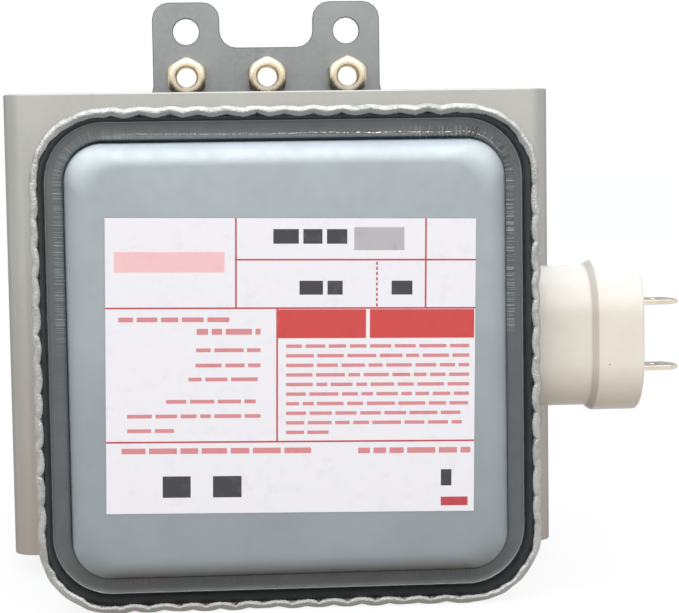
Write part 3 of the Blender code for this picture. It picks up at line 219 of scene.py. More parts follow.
def add_specks_and_painted_shade(tree, place, colour, low, high):
    """Marks the strip between these corners: painted shade on its lower half and on its two bends,
    and dirt specks.
    """
    across, along, up = add_node(tree, "SeparateXYZ", {"Vector": place}).outputs
    # the lower half is painted warmer and darker as shade, and dark dirt specks 0.5 mm across lie
    # about
    colour = tint(tree, colour, spread(tree, up, 0.7, 0.0, 5 * MM, 60 * MM), "#9D9087")
    cells = add_node(tree, "TexVoronoi", {"Vector": place, "Scale": 1 / (9.0 * MM)})
    specks = spread(tree, cells.outputs["Distance"], 0.8, 0.0, 0.02, 0.04)
    colour = tint(tree, colour, specks, "#4A4945")
    # painted shade: the two bends are painted dark, darkest in a thin line at their outer edge
    middle, reach = (low.x + high.x) / 2, (high.x - low.x) / 2
    front = spread(tree, along, 1.0, 0.0, low.y + 2.0 * MM, low.y + 3.2 * MM)
    offset = combine(tree, "ADD", across, -middle)
    away = add_node(tree, "Math", {0: offset}, operation="ABSOLUTE").outputs[0]
    for most, outer, inner, tone in ((0.4, 0.9, 0.3, "#4A4B4A"), (0.9, 0.35, 0.08, "#262726")):
        painted_dark = spread(tree, away, 0.0, most, reach - outer * MM, reach - inner * MM)
        colour = tint(tree, colour, product(tree, painted_dark, front), tone)
    return colour


def drawn_lid_steel(name):
    """Zinc-plated steel, deep drawn: a light hem, a groove darkened by drawing oil and painted
    shade, a blue-grey panel.
    """
    material, tree, shader, place = start_material(name, "#A1A8AB", 0.40, 1.0)
    drawn = add_node(tree, "UVMap", uv_map="drawn").outputs["UV"]
    around, inset, _ = add_node(tree, "SeparateXYZ", {"Vector": drawn}).outputs
    _, behind, up = add_node(tree, "SeparateXYZ", {"Vector": place}).outputs
    hem = band(tree, inset, -9.0, 1.4, 0.2)
    lower = band(tree, around, *LOWER_SIDE, 14.0)
    upper = band(tree, around, *UPPER_SIDE, 8.0)
    edge = HEM_CENTRE.y
    colour = clouded(tree, place, 12.0, "#A1A8AB", "#9AA1A4")
    # the tones of the table: the hem's own, and painted shade, highlight and reflection
    for start, end, soft, tone, share in LID_TONES:
        colour = tint(tree, colour, product(tree, band(tree, inset, start, end, soft), share), tone)
    for share, tone in (
            # the painted shade stays on the hem's outer edge, and its outer face keeps its zinc
            (product(tree, band(tree, inset, -9.0, 0.18, 0.05),
                     spread(tree, behind, 0.0, 0.85, edge + 0.6 * MM, edge + 1.4 * MM)), "#A3A4A0"),
            # painted shade: the panel's lower half darkens towards its bottom
            (product(tree, band(tree, inset, 6.0, 99.0, 1.0),
                     spread(tree, up, 0.34, 0.0, 8 * MM, 50 * MM)), "#787D7F"),
            # painted shade along the lower side: the panel's edge darkest, then the groove
            (product(tree, lower, band(tree, inset, 5.3, 6.0, 2.2), 0.8), "#5E5952"),
            (product(tree, lower, band(tree, inset, 1.5, 5.2, 0.1), 0.4), "#3A3A38"),
            # painted shade: along the upper side the hem's inner slope is darker than its crest,
            # and along the lower side the whole hem is darker
            (product(tree, upper, band(tree, inset, 0.84, 1.5, 0.12), 0.9), "#7A7F7E"),
            (product(tree, lower, hem, 0.7), "#736F69"),
            # stains 1.6 mm across lie on the hem
            (product(tree, hem, spread(
                tree, speckle(tree, place, 1.6, 3.0), 0.0, 0.55, 0.48, 0.66)), "#868580")):
        colour = tint(tree, colour, share, tone)
    rough = spread(tree, speckle(tree, place, 2.0), 0.36, 0.44)
    polished = combine(tree, "SUBTRACT", rough, product(tree, hem, 0.10))
    tree.links.new(polished, shader.inputs["Roughness"])
    peel = emboss(tree, shader, speckle(tree, place, 0.40, 3.0), 0.008)
    # the crimping rolls bruise the hem in flecks 0.3 mm across
    bruises = emboss(tree, shader, product(tree, speckle(tree, place, 0.3), hem), 0.10, peel)
    # draw lines 0.25 mm apart cross the groove where the metal was drawn hardest
    lines = spread(tree, flat_noise(tree, drawn, (4.0, 0.07)), 0.0, 1.0, 0.45, 0.75)
    hard = combine(tree, "MAXIMUM", DRAWN_LEAST, *[
        product(tree, band(tree, around, start, end, soft), strength)
        for start, end, soft, strength in DRAWN_HARD])
    height = product(tree, lines, hard, band(tree, inset, 3.4, 5.0, 0.4))
    colour = tint(tree, colour, product(tree, height, 0.65), "#C9CCCB")
    crossed = emboss(tree, shader, height, 0.10, bruises)
    # the draw ring leaves a pitted line in the groove's inner bend; along the upper side its pits
    # are painted white as glints, where the light catches them
    pits = spread(tree, speckle(tree, place, 0.45, 3.0), 0.1, 1.0, 0.42, 0.55)
    gaps = spread(tree, speckle(tree, place, 4.0), 0.3, 1.0, 0.38, 0.52)
    line = combine(tree, "ADD", inset, spread(tree, speckle(tree, place, 9.0), -0.16, 0.16))
    ring = product(tree, pits, gaps, band(tree, line, 3.94, 4.16, 0.10),
                   band(tree, around, *PAINTED_GLINT_SPAN, 5.0),
                   spread(tree, around, 1.0, 0.25, 92.0, 106.0))
    # painted highlight: the glints are white colour on the pits
    colour = tint(tree, colour, ring, "#FFFFFF")
    emboss(tree, shader, ring, 0.12, crossed)
    tree.links.new(colour, shader.inputs["Base Color"])
    return material


def plated_metal(name, colour, shade, roughness, grain_mm=0.5, depth_mm=0.01):
    """A plated metal part: a clean metal colour with faint clouds and a fine grain."""
    material, tree, shader, place = start_material(name, colour, roughness, 1.0)
    tree.links.new(clouded(tree, place, 2.5, colour, shade), shader.inputs["Base Color"])
    tree.links.new(spread(tree, speckle(tree, place, 1.2), roughness - 0.06, roughness + 0.08),
                   shader.inputs["Roughness"])
    emboss(tree, shader, speckle(tree, place, grain_mm, 3.0), depth_mm)
    return material


def rolled_aluminium(name, colour, roughness):
    """Mill-finish aluminium: fine rolling lines that stretch the reflections."""
    material, tree, shader, place = start_material(name, colour, roughness, 1.0)
    # rolling lines 0.25 mm apart, drawn coarser than the real 0.05 mm so that they show
    lines = speckle(tree, place, 0.25, 2.0, (1.0, 1.0, 0.03))
    tree.links.new(spread(tree, lines, roughness - 0.08, roughness + 0.10),
                   shader.inputs["Roughness"])
    emboss(tree, shader, lines, 0.006)
    return material


def dull_solid(name, colour, shade, roughness, grain_mm, depth_mm):
    """A sintered or cast solid: matt, with a fine even grain."""
    material, tree, shader, place = start_material(name, colour, roughness)
    tree.links.new(clouded(tree, place, grain_mm * 4, colour, shade, 3.0),
                   shader.inputs["Base Color"])
    emboss(tree, shader, speckle(tree, place, grain_mm, 3.0), depth_mm)
    return material


def moulded_pbt(name, colour, shade, speck):
    """Moulded PBT: cream, softly glossy, slightly translucent at its edges, a few dark specks."""
    material, tree, shader, place = start_material(
        name, colour, 0.34, Subsurface_Weight=0.03, Subsurface_Scale=0.4 * MM)
    body = clouded(tree, place, 6.0, colour, shade)
    # dark specks 0.2 mm across, at most one in each cell of 4 mm
    cells = add_node(tree, "TexVoronoi", {"Vector": place, "Scale": 1 / (4.0 * MM)})
    dot = spread(tree, cells.outputs["Distance"], 0.9, 0.0, 0.02, 0.04)
    tree.links.new(tint(tree, body, dot, speck), shader.inputs["Base Color"])
    emboss(tree, shader, speckle(tree, place, 1.6), 0.02)
    return material


def printed_paper(name, colour, shade):
    """Coated paper, printed: an even sheen and a faint fibre mottle."""
    material, tree, shader, place = start_material(name, colour, 0.45)
    fibres = clouded(tree, place, 1.8, colour, shade, 4.0, 0.55, 0.75)
    tree.links.new(fibres, shader.inputs["Base Color"])
    emboss(tree, shader, speckle(tree, place, 0.8, 3.0), 0.012)
    return material


# Sizes and lights that a user would change

class MagnetronLidSettings(bpy.types.PropertyGroup):
    crimp_pitch: FloatProperty(
        name="Crimp pitch", description="Distance between two crimps of the hem",
        default=4.5 * MM, min=2 * MM, max=10 * MM, unit="LENGTH")
    wave_depth: FloatProperty(
        name="Wave depth", description="How far the hem's outside waves at each crimp",
        default=0.36 * MM, min=0.0, max=1 * MM, unit="LENGTH")
    scallop_depth: FloatProperty(
        name="Scallop depth", description="How far the hem's inside swells between two crimps",
        default=0.38 * MM, min=0.0, max=1 * MM, unit="LENGTH")
    pit_depth: FloatProperty(
        name="Pit depth", description="How deep the tool's pit is at each crimp",
        default=0.12 * MM, min=0.0, max=1 * MM, unit="LENGTH")
    unevenness: FloatProperty(
        name="Unevenness", description="How far the hem wanders from its true line",
        default=0.09 * MM, min=0.0, max=0.5 * MM, unit="LENGTH")


class MagnetronLabelSettings(bpy.types.PropertyGroup):
    turn: FloatProperty(
        name="Turn", description="How far the label is askew on the lid",
        default=math.radians(-1.0), subtype="ANGLE")


class MagnetronSheetSettings(bpy.types.PropertyGroup):
    edge_round: FloatProperty(
        name="Edge round", description="Radius of the pressed edges of the steel sheets",
        default=0.28 * MM, min=0.0, max=0.5 * MM, unit="LENGTH")


class MagnetronStageSettings(bpy.types.PropertyGroup):
    key_power: FloatProperty(
        name="Key light", description="Power of the large soft light above the front",
        default=3.2, min=0.0, unit="POWER")
    sky: FloatProperty(
        name="Surround", description="Brightness of the pale surround", default=0.62, min=0.0)


# Helpers for meshes

def link_object(name, data):
    """A new object with this data, linked to the scene."""
    holder = bpy.data.objects.new(name, data)
    bpy.context.scene.collection.objects.link(holder)
    return holder


def finish_mesh(name, bm, materials, smooth_angle=35):
    """An object from a bmesh, smooth across its curves and sharp at its edges."""
    bmesh.ops.recalc_face_normals(bm, faces=bm.faces[:])
    mesh = bpy.data.meshes.new(name)
    bm.to_mesh(mesh)
    bm.free()
    for material in materials:
        mesh.materials.append(material)
    mesh.shade_smooth()
    mesh.set_sharp_from_angle(angle=math.radians(smooth_angle))
    return link_object(name, mesh)


def level_shading(piece):
    """Keeps the flat faces of a piece flat to the eye."""
    modifier = piece.modifiers.new("level shading", "WEIGHTED_NORMAL")
    modifier.keep_sharp = True


def add_ring(bm, points):
    """A ring of new vertices."""
    return [bm.verts.new(point) for point in points]


def join_rings(bm, first, second):
    """Four-sided faces between two rings with the same number of vertices."""
    count = len(first)
    for i in range(count):
        j = (i + 1) % count
        bm.faces.new((first[i], first[j], second[j], second[i]))


def loft(bm, rings):
    """A closed skin over a loop of rings."""
    for first, second in zip(rings, rings[1:] + rings[:1]):
        join_rings(bm, first, second)


def refined(name, node, material, round_by, segments=2, edge_material=None, reshape=None):
    """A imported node's shape with its edges rounded, in place of that node."""
    bm = bmesh.new()
    bm.from_mesh(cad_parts[node].data)
    bmesh.ops.remove_doubles(bm, verts=bm.verts[:], dist=0.002 * MM)
    bmesh.ops.dissolve_limit(
        bm, angle_limit=math.radians(0.5), verts=bm.verts[:], edges=bm.edges[:])
    if reshape is not None:
        reshape(bm)
    sharp = [edge for edge in bm.edges
             if len(edge.link_faces) == 2 and edge.calc_face_angle() > math.radians(35)]
    if round_by > 0:
        bmesh.ops.bevel(bm, geom=sharp, offset=round_by, segments=segments, profile=0.5,
                        affect="EDGES", clamp_overlap=True, material=1 if edge_material else 0)
    piece = finish_mesh(name, bm, [material, edge_material] if edge_material else [material], 40)
    level_shading(piece)
    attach(piece, BODY)
    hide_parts(node)
    return piece


# The lid

SIDE_STEPS = 264
CORNER_STEPS = 60
HEM_CORNER = 11.5 * MM
PANEL_CORNER = 6.0 * MM
HIGH_SIDE = 1
LOW_SIDE = 3
# how much broader the hem is along the right, upper, left and lower side, in wave depths
HEM_BREADTHS = (0.1, 0.85, 0.1, 0.0)

# the drawn section in millimetres: inset from the hem's outside and depth behind its face,
# then, on the hem, how far the row follows its outer waves, its inner scallops and its pits
HEM_SECTION = (
    (0.14, 3.00, 0.2, 0.0, 0.0), (0.14, 2.10, 0.6, 0.0, 0.0), (0.12, 1.30, 0.9, 0.0, 0.0),
    (0.10, 0.80, 1.0, 0.0, 0.0), (0.13, 0.48, 1.0, 0.0, 0.0), (0.22, 0.22, 0.9, 0.0, 0.0),
    (0.38, 0.09, 0.8, 0.2, 0.0), (0.60, 0.01, 0.7, 0.3, 0.1), (0.80, 0.00, 0.5, 0.5, 0.3),
    (0.95, 0.03, 0.3, 0.7, 0.5), (1.09, 0.10, 0.1, 0.9, 0.8), (1.22, 0.20, 0.0, 1.0, 1.0),
    (1.32, 0.33, 0.0, 1.0, 1.0), (1.39, 0.54, 0.0, 0.9, 0.6), (1.46, 0.85, 0.0, 0.6, 0.2),
    (1.53, 1.30, 0.0, 0.3, 0.0), (1.58, 1.75, 0.0, 0.1, 0.0), (1.61, 2.40), (1.65, 3.10),
    (1.70, 4.00), (1.77, 4.90), (1.83, 5.50), (1.90, 5.72), (2.00, 5.80), (2.14, 5.84),
    (2.36, 5.92), (2.70, 5.98), (3.25, 6.00), (3.90, 6.00), (4.20, 5.98), (4.75, 5.90),
    (5.04, 5.74), (5.17, 5.44), (5.22, 4.90), (5.25, 4.00), (5.27, 3.00), (5.28, 1.60),
    (5.30, 1.35), (5.35, 1.20),
)
CREST_ROW = 7
PANEL_INSET = 5.44
PANEL_EDGE_BREADTH = 3.76
PANEL_EDGE_DEPTH = 1.3
PANEL_EDGE_START = math.radians(46)
PANEL_EDGE_STEPS = 14
HIDDEN_SECTION = ((0.55, 3.00), (0.55, 1.45), (1.00, 1.32), (1.46, 1.60), (1.50, 2.40),
                  (1.54, 4.60), (1.75, 5.90), (2.30, 6.40), (3.80, 6.60), (5.30, 6.20),
                  (6.00, 4.60), (6.00, 2.20), (9.20, 0.40))

# tones by inset in millimetres: from, to, softness, colour, share. After the hem's own tone come
# painted shade on its outer edge, the wall's own tone, the groove darkened partly by drawing oil
# and partly as painted shade of the recess, a painted highlight at the groove's foot and a painted
# sky reflection on the panel's side
LID_TONES = (
    (-9.0, 1.32, 0.10, "#ABABA8", 1.0),
    (-9.0, 0.16, 0.06, "#6E675E", 0.9),
    (1.47, 1.92, 0.08, "#A4A9AA", 1.0),
    (2.06, 5.30, 0.08, "#6C6E6E", 1.0),
    (1.90, 2.04, 0.05, "#C4C8C8", 0.8),
    (4.25, 5.38, 0.10, "#6D7478", 0.9),
)
# where the draw lines show, in millimetres round the lid: from, to, softness, strength
DRAWN_HARD = ((36.0, 80.0, 5.0, 1.0), (134.0, 172.0, 8.0, 0.3))
DRAWN_LEAST = 0.05
# where the painted glints and the painted shade of the upper and lower sides lie: from and to, in
# millimetres round the lid
PAINTED_GLINT_SPAN = (68.0, 126.0)
UPPER_SIDE = (66.0, 136.0)
LOWER_SIDE = (224.0, 282.0)


# how unevenly the crimping rolls worked, in metres
CRIMP_STRAY = 0.12 * MM
CRIMP_FADE = 2.0 * MM
PIT_FLANKS = (0.12 * MM, 0.22 * MM)
SWELL_BREADTH = 1.0 * MM
GATHER_PLACE = 0.8 * MM
GATHER_BREADTH = 1.1 * MM
LUMP_HEIGHT = 0.22 * MM
RIPPLE_SIZES = (6 * MM, 2.2 * MM)


class Column:
    """One station round the lid: its side, its place there and what the crimps do to it."""

    def __init__(self, side, along, turn, wave, scallop, pit, lump, rough=1.0):
        self.side = side
        self.along = along
        self.turn = turn
        self.wave = wave
        self.scallop = scallop
        self.pit = pit
        self.lump = lump
        self.rough = rough


def hem_breadth(side, share):
    """How much broader the hem is rolled here, along a side or round the corner after it."""
    ends = HEM_BREADTHS[side], HEM_BREADTHS[(side + 1) % 4]
    return ends[0] + (ends[1] - ends[0]) * share


def lid_columns(pitch):
    """The stations round the lid, with the crimps along each straight side."""
    rng = random.Random(7)
    columns = []
    for side in range(4):
        length = LID_HIGH.z - LID_LOW.z if side % 2 == 0 else LID_HIGH.x - LID_LOW.x
        span = length / 2 - HEM_CORNER
        drift = rng.uniform(-0.1, 0.1) * pitch
        count = int(span / pitch)
        crimps = []
        for k in range(-count - 1, count + 2):
            crimps.append((k * pitch + drift + rng.gauss(0, CRIMP_STRAY), rng.uniform(0.6, 1.15),
                           rng.uniform(0.4, 1.2), rng.uniform(-1.0, 1.0)))
        for step in range(SIDE_STEPS + 1):
            at = span * (2 * step / SIDE_STEPS - 1)
            place, depth, pit, lump = min(crimps, key=lambda crimp: abs(crimp[0] - at))
            away = min(1.0, abs(at - place) / (pitch / 2))
            # between two crimps the outside dips and the inside swells
            fade = min(1.0, (span - abs(at)) / CRIMP_FADE)
            wave = 0.45 + fade * (depth * (math.cos(math.pi / 2 * away) - 0.5) - 0.05)
            swelling = math.sin(math.pi / 2 * away)
            if side == HIGH_SIDE:
                swelling = 1.1 * swelling * swelling - 0.05
            scallop = 0.5 + fade * (depth * (swelling - 0.5))
            # a pit is steep on one flank and slopes on the other, as the tool leaves it
            hollow = fade * pit / (1 + ((at - place) / PIT_FLANKS[at <= place]) ** 2)
            swell = 0.3 * lump * math.exp(-((at - place) / SWELL_BREADTH) ** 2)
            broad = hem_breadth(side, 0.0)
            columns.append(Column(side, step / SIDE_STEPS, None, wave + swell + broad,
                                  scallop + 0.4 * broad, hollow, 0.0))
        # the metal gathers where a straight side runs into a corner
        for start, strength in ((0, rng.uniform(0.2, 1.0)), (SIDE_STEPS, rng.uniform(0.2, 1.0))):
            for column in columns[-SIDE_STEPS - 1:]:
                away = abs(column.along * SIDE_STEPS - start) * 2 * span / SIDE_STEPS
                column.lump += strength * math.exp(
                    -((away - GATHER_PLACE) / GATHER_BREADTH) ** 2)
        for step in range(1, CORNER_STEPS):
            share = step / CORNER_STEPS
            fade = min(1.0, 5 * share, 5 * (1 - share))
            spot = Vector((3.1 * side, 5.5 * share, 0.0))
            broad = hem_breadth(side, share)
            wave = 0.45 + 0.9 * fade * noise.noise(spot) + broad
            scallop = 0.5 + 0.9 * fade * noise.noise(spot * 1.7 + Vector((0.0, 0.0, 4.0)))
            columns.append(Column(side, 1.0, share, wave, scallop + 0.4 * broad, 0.0, 0.0,
                                  1 + 1.2 * fade))
    return columns


def lid_point(column, inset):
    """A point on the lid's outline at this inset, and the direction that leads outwards."""
    angle = math.pi / 2 * column.side
    outwards = Vector((math.cos(angle), math.sin(angle)))
    forward = Vector((-math.sin(angle), math.cos(angle)))
    half = ((LID_HIGH.x - LID_LOW.x) / 2, (LID_HIGH.z - LID_LOW.z) / 2)
    across, reach = half if column.side % 2 == 0 else half[::-1]
    radius = max(HEM_CORNER - inset, PANEL_CORNER)
    across -= inset
    reach -= inset
    if column.turn is None:
        return outwards * across + forward * (reach - radius) * (2 * column.along - 1), outwards
    swing = math.pi / 2 * column.turn
    away = outwards * math.cos(swing) + forward * math.sin(swing)
    return outwards * (across - radius) + forward * (reach - radius) + away * radius, away


def lid_row(bm, columns, settings, inset, depth, outer=0.0, inner=0.0, hollow=0.0):
    """One ring of vertices round the lid."""
    ring = []
    for column in columns:
        point, outwards = lid_point(column, inset * MM)
        ripple = noise.noise(Vector((point.x, point.y, 0.0)) / RIPPLE_SIZES[0])
        ripple += 0.6 * noise.noise(Vector((point.x, point.y, 0.01)) / RIPPLE_SIZES[1])
        push = outer * (settings.wave_depth * (column.wave - 0.5) + LUMP_HEIGHT * column.lump)
        push -= inner * settings.scallop_depth * (column.scallop - 0.5)
        push += hollow * settings.pit_depth * column.pit
        push += max(outer, inner) * settings.unevenness * column.rough * ripple
        if column.side == LOW_SIDE:
            push = min(push, inset * MM)
        moved = point + outwards * push
        sunk = depth * MM + max(outer, inner) * settings.unevenness * (0.5 - ripple) * 0.6
        sunk += hollow * 1.5 * settings.pit_depth * column.pit
        ring.append((HEM_CENTRE.x + moved.x, HEM_CENTRE.y + sunk, HEM_CENTRE.z + moved.y))
    return add_ring(bm, ring)


class MAGNETRON_OT_lid(bpy.types.Operator):
    """Builds the drawn lid with its crimped hem, groove and raised panel"""
    bl_idname = "magnetron.lid"
    bl_label = "Crimped lid"

    def execute(self, context):
        settings = context.scene.magnetron_lid
        columns = lid_columns(settings.crimp_pitch)
        section = list(HEM_SECTION)
        for step in range(PANEL_EDGE_STEPS + 1):
            start = PANEL_EDGE_START
            angle = start + (math.pi / 2 - start) * step / PANEL_EDGE_STEPS
            section.append((
                PANEL_INSET + PANEL_EDGE_BREADTH * (1 - math.cos(angle) / math.cos(start)),
                PANEL_EDGE_DEPTH * (1 - math.sin(angle)) / (1 - math.sin(start)) - PANEL_RISE / MM))
        bm = bmesh.new()
        rows = [lid_row(bm, columns, settings, *row) for row in section]
        self.join_with_map(bm, rows, [row[0] for row in section])
        middle = bm.faces.new(rows[-1])
        for loop in middle.loops:
            loop[bm.loops.layers.uv["drawn"]].uv = (0.0, section[-1][0])
        hidden = [lid_row(bm, columns, settings, *row) for row in HIDDEN_SECTION]
        join_rings(bm, rows[0], hidden[0])
        for first, second in zip(hidden, hidden[1:]):
            join_rings(bm, first, second)
        bm.faces.new(hidden[-1])
        steel = drawn_lid_steel("zinc_steel_deep_drawn")
        lid = finish_mesh("lid_drawn", bm, [steel], 50)
        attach(lid, BODY)
        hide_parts("filter_lid")
        return {"FINISHED"}

    def join_with_map(self, bm, rows, insets):
        """Joins the visible rows and maps them: millimetres round the lid, and the inset."""
        around = [0.0]
        crest = rows[CREST_ROW]
        for i, vert in enumerate(crest):
            around.append(around[-1] + (vert.co - crest[(i + 1) % len(crest)].co).length / MM)
        drawn = bm.loops.layers.uv.new("drawn")
        for row, (first, second) in enumerate(zip(rows, rows[1:])):
            for i in range(len(crest)):
                j = (i + 1) % len(crest)
                face = bm.faces.new((first[i], first[j], second[j], second[i]))
                corners = ((around[i], insets[row]), (around[i + 1], insets[row]),
                           (around[i + 1], insets[row + 1]), (around[i], insets[row + 1]))
                for loop, corner in zip(face.loops, corners):
                    loop[drawn].uv = corner


# The label

LABEL_SIZE = (58.1, 46.5)
RULE = 0.28
# printed places in millimetres from the label's upper left corner: left, top, right, bottom
RED_RULES = (
    (20.36, 0.0, 20.36, 14.1), (20.36, 6.5, 58.1, 6.5), (50.2, 0.0, 50.2, 14.1),
    (0.0, 14.1, 58.1, 14.1), (0.0, 35.2, 58.1, 35.2), (26.8, 14.1, 26.8, 35.2),
)
RED_FIELDS = ((26.95, 14.3, 40.8, 18.85), (41.4, 14.3, 57.95, 18.85))
DARK_BARS = (
    (26.2, 1.7, 30.2, 4.0), (30.9, 1.7, 33.9, 4.0), (34.6, 1.7, 37.8, 4.0),
    (30.3, 9.8, 34.0, 12.0), (34.7, 9.8, 37.1, 12.0), (44.8, 9.8, 48.1, 12.0),
    (8.8, 40.6, 13.2, 44.0), (16.7, 40.6, 21.2, 44.0), (52.8, 39.8, 54.5, 42.4),
)
RED_BARS = ((52.8, 44.2, 57.1, 45.6),)
PINK_FIELD = (1.4, 5.3, 18.6, 8.5)
GREY_FIELD = (38.9, 1.4, 46.8, 5.0)
# rows of small print: left, right, middle height, height of the dashes
SMALL_ROWS = (
    (2.0, 19.3, 15.9, 0.75), (14.2, 24.2, 17.8, 0.95), (14.1, 24.2, 20.7, 0.6),
    (14.0, 24.2, 23.1, 0.6), (12.9, 24.2, 25.3, 0.6), (9.4, 24.2, 28.8, 0.6),
    (3.3, 24.2, 31.1, 0.6), (3.3, 10.6, 33.4, 0.6), (2.4, 33.4, 36.6, 0.9),
    (39.6, 57.5, 36.7, 0.9),
)
# the block of small print: left, right, first and last row's height, number of rows
BLOCK_ROWS = (28.2, 57.2, 20.1, 33.75, 10)
BLOCK_LAST_RIGHT = 35.0
# the dotted rule: across, first dot's top, a dot's height, the step to the next, their number
DOTTED_RULE = (42.5, 6.8, 0.5, 0.82, 9)
WORD_LENGTHS = (1.6, 4.6)
WORD_GAP = 0.55
# what each number of a printed place stands for: finish, colour and shade
INKS = (
    ("coated_white", "#ECEDF5", "#E6E7F0"), ("printed_red_rule", "#BE4550", "#B33C48"),
    ("printed_red_field", "#CB4645", "#C54242"), ("stamped_black", "#35353A", "#48484E"),
    ("printed_pink", "#EFC3C8", "#EDB9BF"), ("printed_grey", "#B5B3BA", "#A9A7AF"),
    ("printed_small_red", "#D48A90", "#CC7F86"),
)


def dashes(left, right, middle, height, rng):
    """Word-like dashes along a row of small print."""
    found = []
    at = left
    while at < right - 0.8:
        end = min(right, at + rng.uniform(*WORD_LENGTHS))
        found.append((at, middle - height / 2, end, middle + height / 2))
        at = end + WORD_GAP
    return found


class MAGNETRON_OT_label(bpy.types.Operator):
    """Builds the paper label with its red rules, fields and plain bars"""
    bl_idname = "magnetron.label"
    bl_label = "Paper label"

    def execute(self, context):
        settings = context.scene.magnetron_label
        rng = random.Random(3)
        width, height = LABEL_SIZE
        layers = []
        for left, top, right, bottom in RED_RULES:
            aside, above = RULE / 2 * (left == right), RULE / 2 * (top == bottom)
            layers.append((left - aside, top - above, right + aside, bottom + above, 1))
        across, start, tall, step, count = DOTTED_RULE
        for k in range(count):
            top = start + k * step
            layers.append((across - RULE / 2, top, across + RULE / 2, top + tall, 1))
        for ink, boxes in ((2, RED_FIELDS), (3, DARK_BARS), (1, RED_BARS), (4, [PINK_FIELD]),
                           (5, [GREY_FIELD])):
            layers += [(*box, ink) for box in boxes]
        for left, right, middle, tall in SMALL_ROWS:
            layers += [(*box, 6) for box in dashes(left, right, middle, tall, rng)]
        left, right, first, last, count = BLOCK_ROWS
        for k in range(count):
            middle = first + (last - first) * k / (count - 1)
            end = right if k < count - 1 else BLOCK_LAST_RIGHT
            layers += [(*box, 6) for box in dashes(left, end, middle, 0.55, rng)]
        xs, ys = (
            sorted({0.0, size, *(min(max(box[k], 0.0), size) for box in layers for k in sides)})
            for size, sides in ((width, (0, 2)), (height, (1, 3))))
        centre = (LABEL_LOW + LABEL_HIGH) / 2
        front, back = LABEL_LOW.y, LABEL_HIGH.y
        turn = Matrix.Rotation(settings.turn, 2)

        def at(x, y, depth):
            offset = turn @ Vector(((x - width / 2) * MM, (height / 2 - y) * MM))
            return (centre.x + offset.x, depth, centre.z + offset.y)

        bm = bmesh.new()
        grid = [[bm.verts.new(at(x, y, front)) for x in xs] for y in ys]
        for j in range(len(ys) - 1):
            for i in range(len(xs) - 1):
                face = bm.faces.new((grid[j][i], grid[j][i + 1],
                                     grid[j + 1][i + 1], grid[j + 1][i]))
                middle = ((xs[i] + xs[i + 1]) / 2, (ys[j] + ys[j + 1]) / 2)
                for left, top, right, bottom, ink in layers:
                    if left < middle[0] < right and top < middle[1] < bottom:
                        face.material_index = ink
        rim = (grid[0] + [row[-1] for row in grid[1:]] + grid[-1][-2::-1]
               + [row[0] for row in grid[-2:0:-1]])
        rear = [bm.verts.new((vert.co.x, back, vert.co.z)) for vert in rim]
        join_rings(bm, rim, rear)
        bm.faces.new(rear)
        inks = [printed_paper("paper_" + name, colour, shade) for name, colour, shade in INKS]
        label = finish_mesh("label_printed", bm, inks, 30)
        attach(label, BODY)
        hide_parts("label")
        return {"FINISHED"}


# Yoke, filter box and mounting plate

BOX_CORNER = 10.7 * MM
BOX_RIM = 0.4 * MM
BOX_RIM_SHEET = 0.3 * MM
BOX_RIM_PUSH = 0.28 * MM


class MAGNETRON_OT_yoke(bpy.types.Operator):
    """Builds the yoke and the filter box with rounded sheet edges"""
    bl_idname = "magnetron.yoke"
    bl_label = "Yoke and filter box"

    def execute(self, context):
        edge = context.scene.magnetron_sheet.edge_round
        low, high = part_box("yoke_frame")
        strip = zinc_sheet("zinc_steel_strip_rolled", "#ABABA5", "#A5A49F", 0.42, (low, high))
        refined("yoke_pressed", "yoke_frame", strip, edge)
        shell = zinc_sheet("zinc_steel_box_drawn", "#A9A9A4", "#9E9E9A", 0.42)
        box = refined("filter_box_drawn", "filter_box", shell, edge * 0.5)
        self.clear_corners(box)
        rivets = plated_metal("steel_rivet_zinc_plated", "#B0B2B2", "#9A9C9C", 0.35)
        for number in range(1, 5):
            give(rivets, "box_rivet_%d" % number)
        return {"FINISHED"}

    def clear_corners(self, box):
        """Draws the rim's few-sided inner corners out, clear of the lid's round groove wall."""
        low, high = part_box("filter_box")
        middle = (low + high) / 2
        for vert in box.data.vertices:
            if vert.co.y > low.y + BOX_RIM:
                continue
            across, up = vert.co.x - middle.x, vert.co.z - middle.z
            corner = Vector((math.copysign((high.x - low.x) / 2 - BOX_CORNER, across),
                             math.copysign((high.z - low.z) / 2 - BOX_CORNER, up)))
            away = Vector((across, up)) - corner
            outside = away.x * corner.x > 0 and away.y * corner.y > 0
            if outside and away.length < BOX_CORNER - BOX_RIM_SHEET:
                moved = corner + away * (away.length + BOX_RIM_PUSH) / away.length
                vert.co.x, vert.co.z = middle.x + moved.x, middle.z + moved.y


def give(material, *nodes):
    """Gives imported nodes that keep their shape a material."""
    for name in nodes:
        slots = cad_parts[name].material_slots
        if not slots:
            raise RuntimeError("node %s has no material slot" % name)
        for slot in slots:
            slot.material = material


NUT_COLUMNS = 72
NUT_SIDE_STEPS = 18
NUT_BORE_STEPS = 30
NUT_BORE = 4.0 * MM
NUT_THREAD_PITCH = 0.7
NUT_DOME_DEPTH = 1.5 * MM
NUT_FACE_SHARE = 0.76
NUT_CORNER_SHARE = 1.11
NUT_THREAD_DEPTH = 0.25 * MM
NUT_BORE_MOUTH = 0.40 * MM


def soft_least(first, second, soft):
    """The lesser of two lengths, with a round transition."""
    apart = max(0.0, 1 - abs(first - second) / soft)
    return min(first, second) - soft * apart * apart / 4


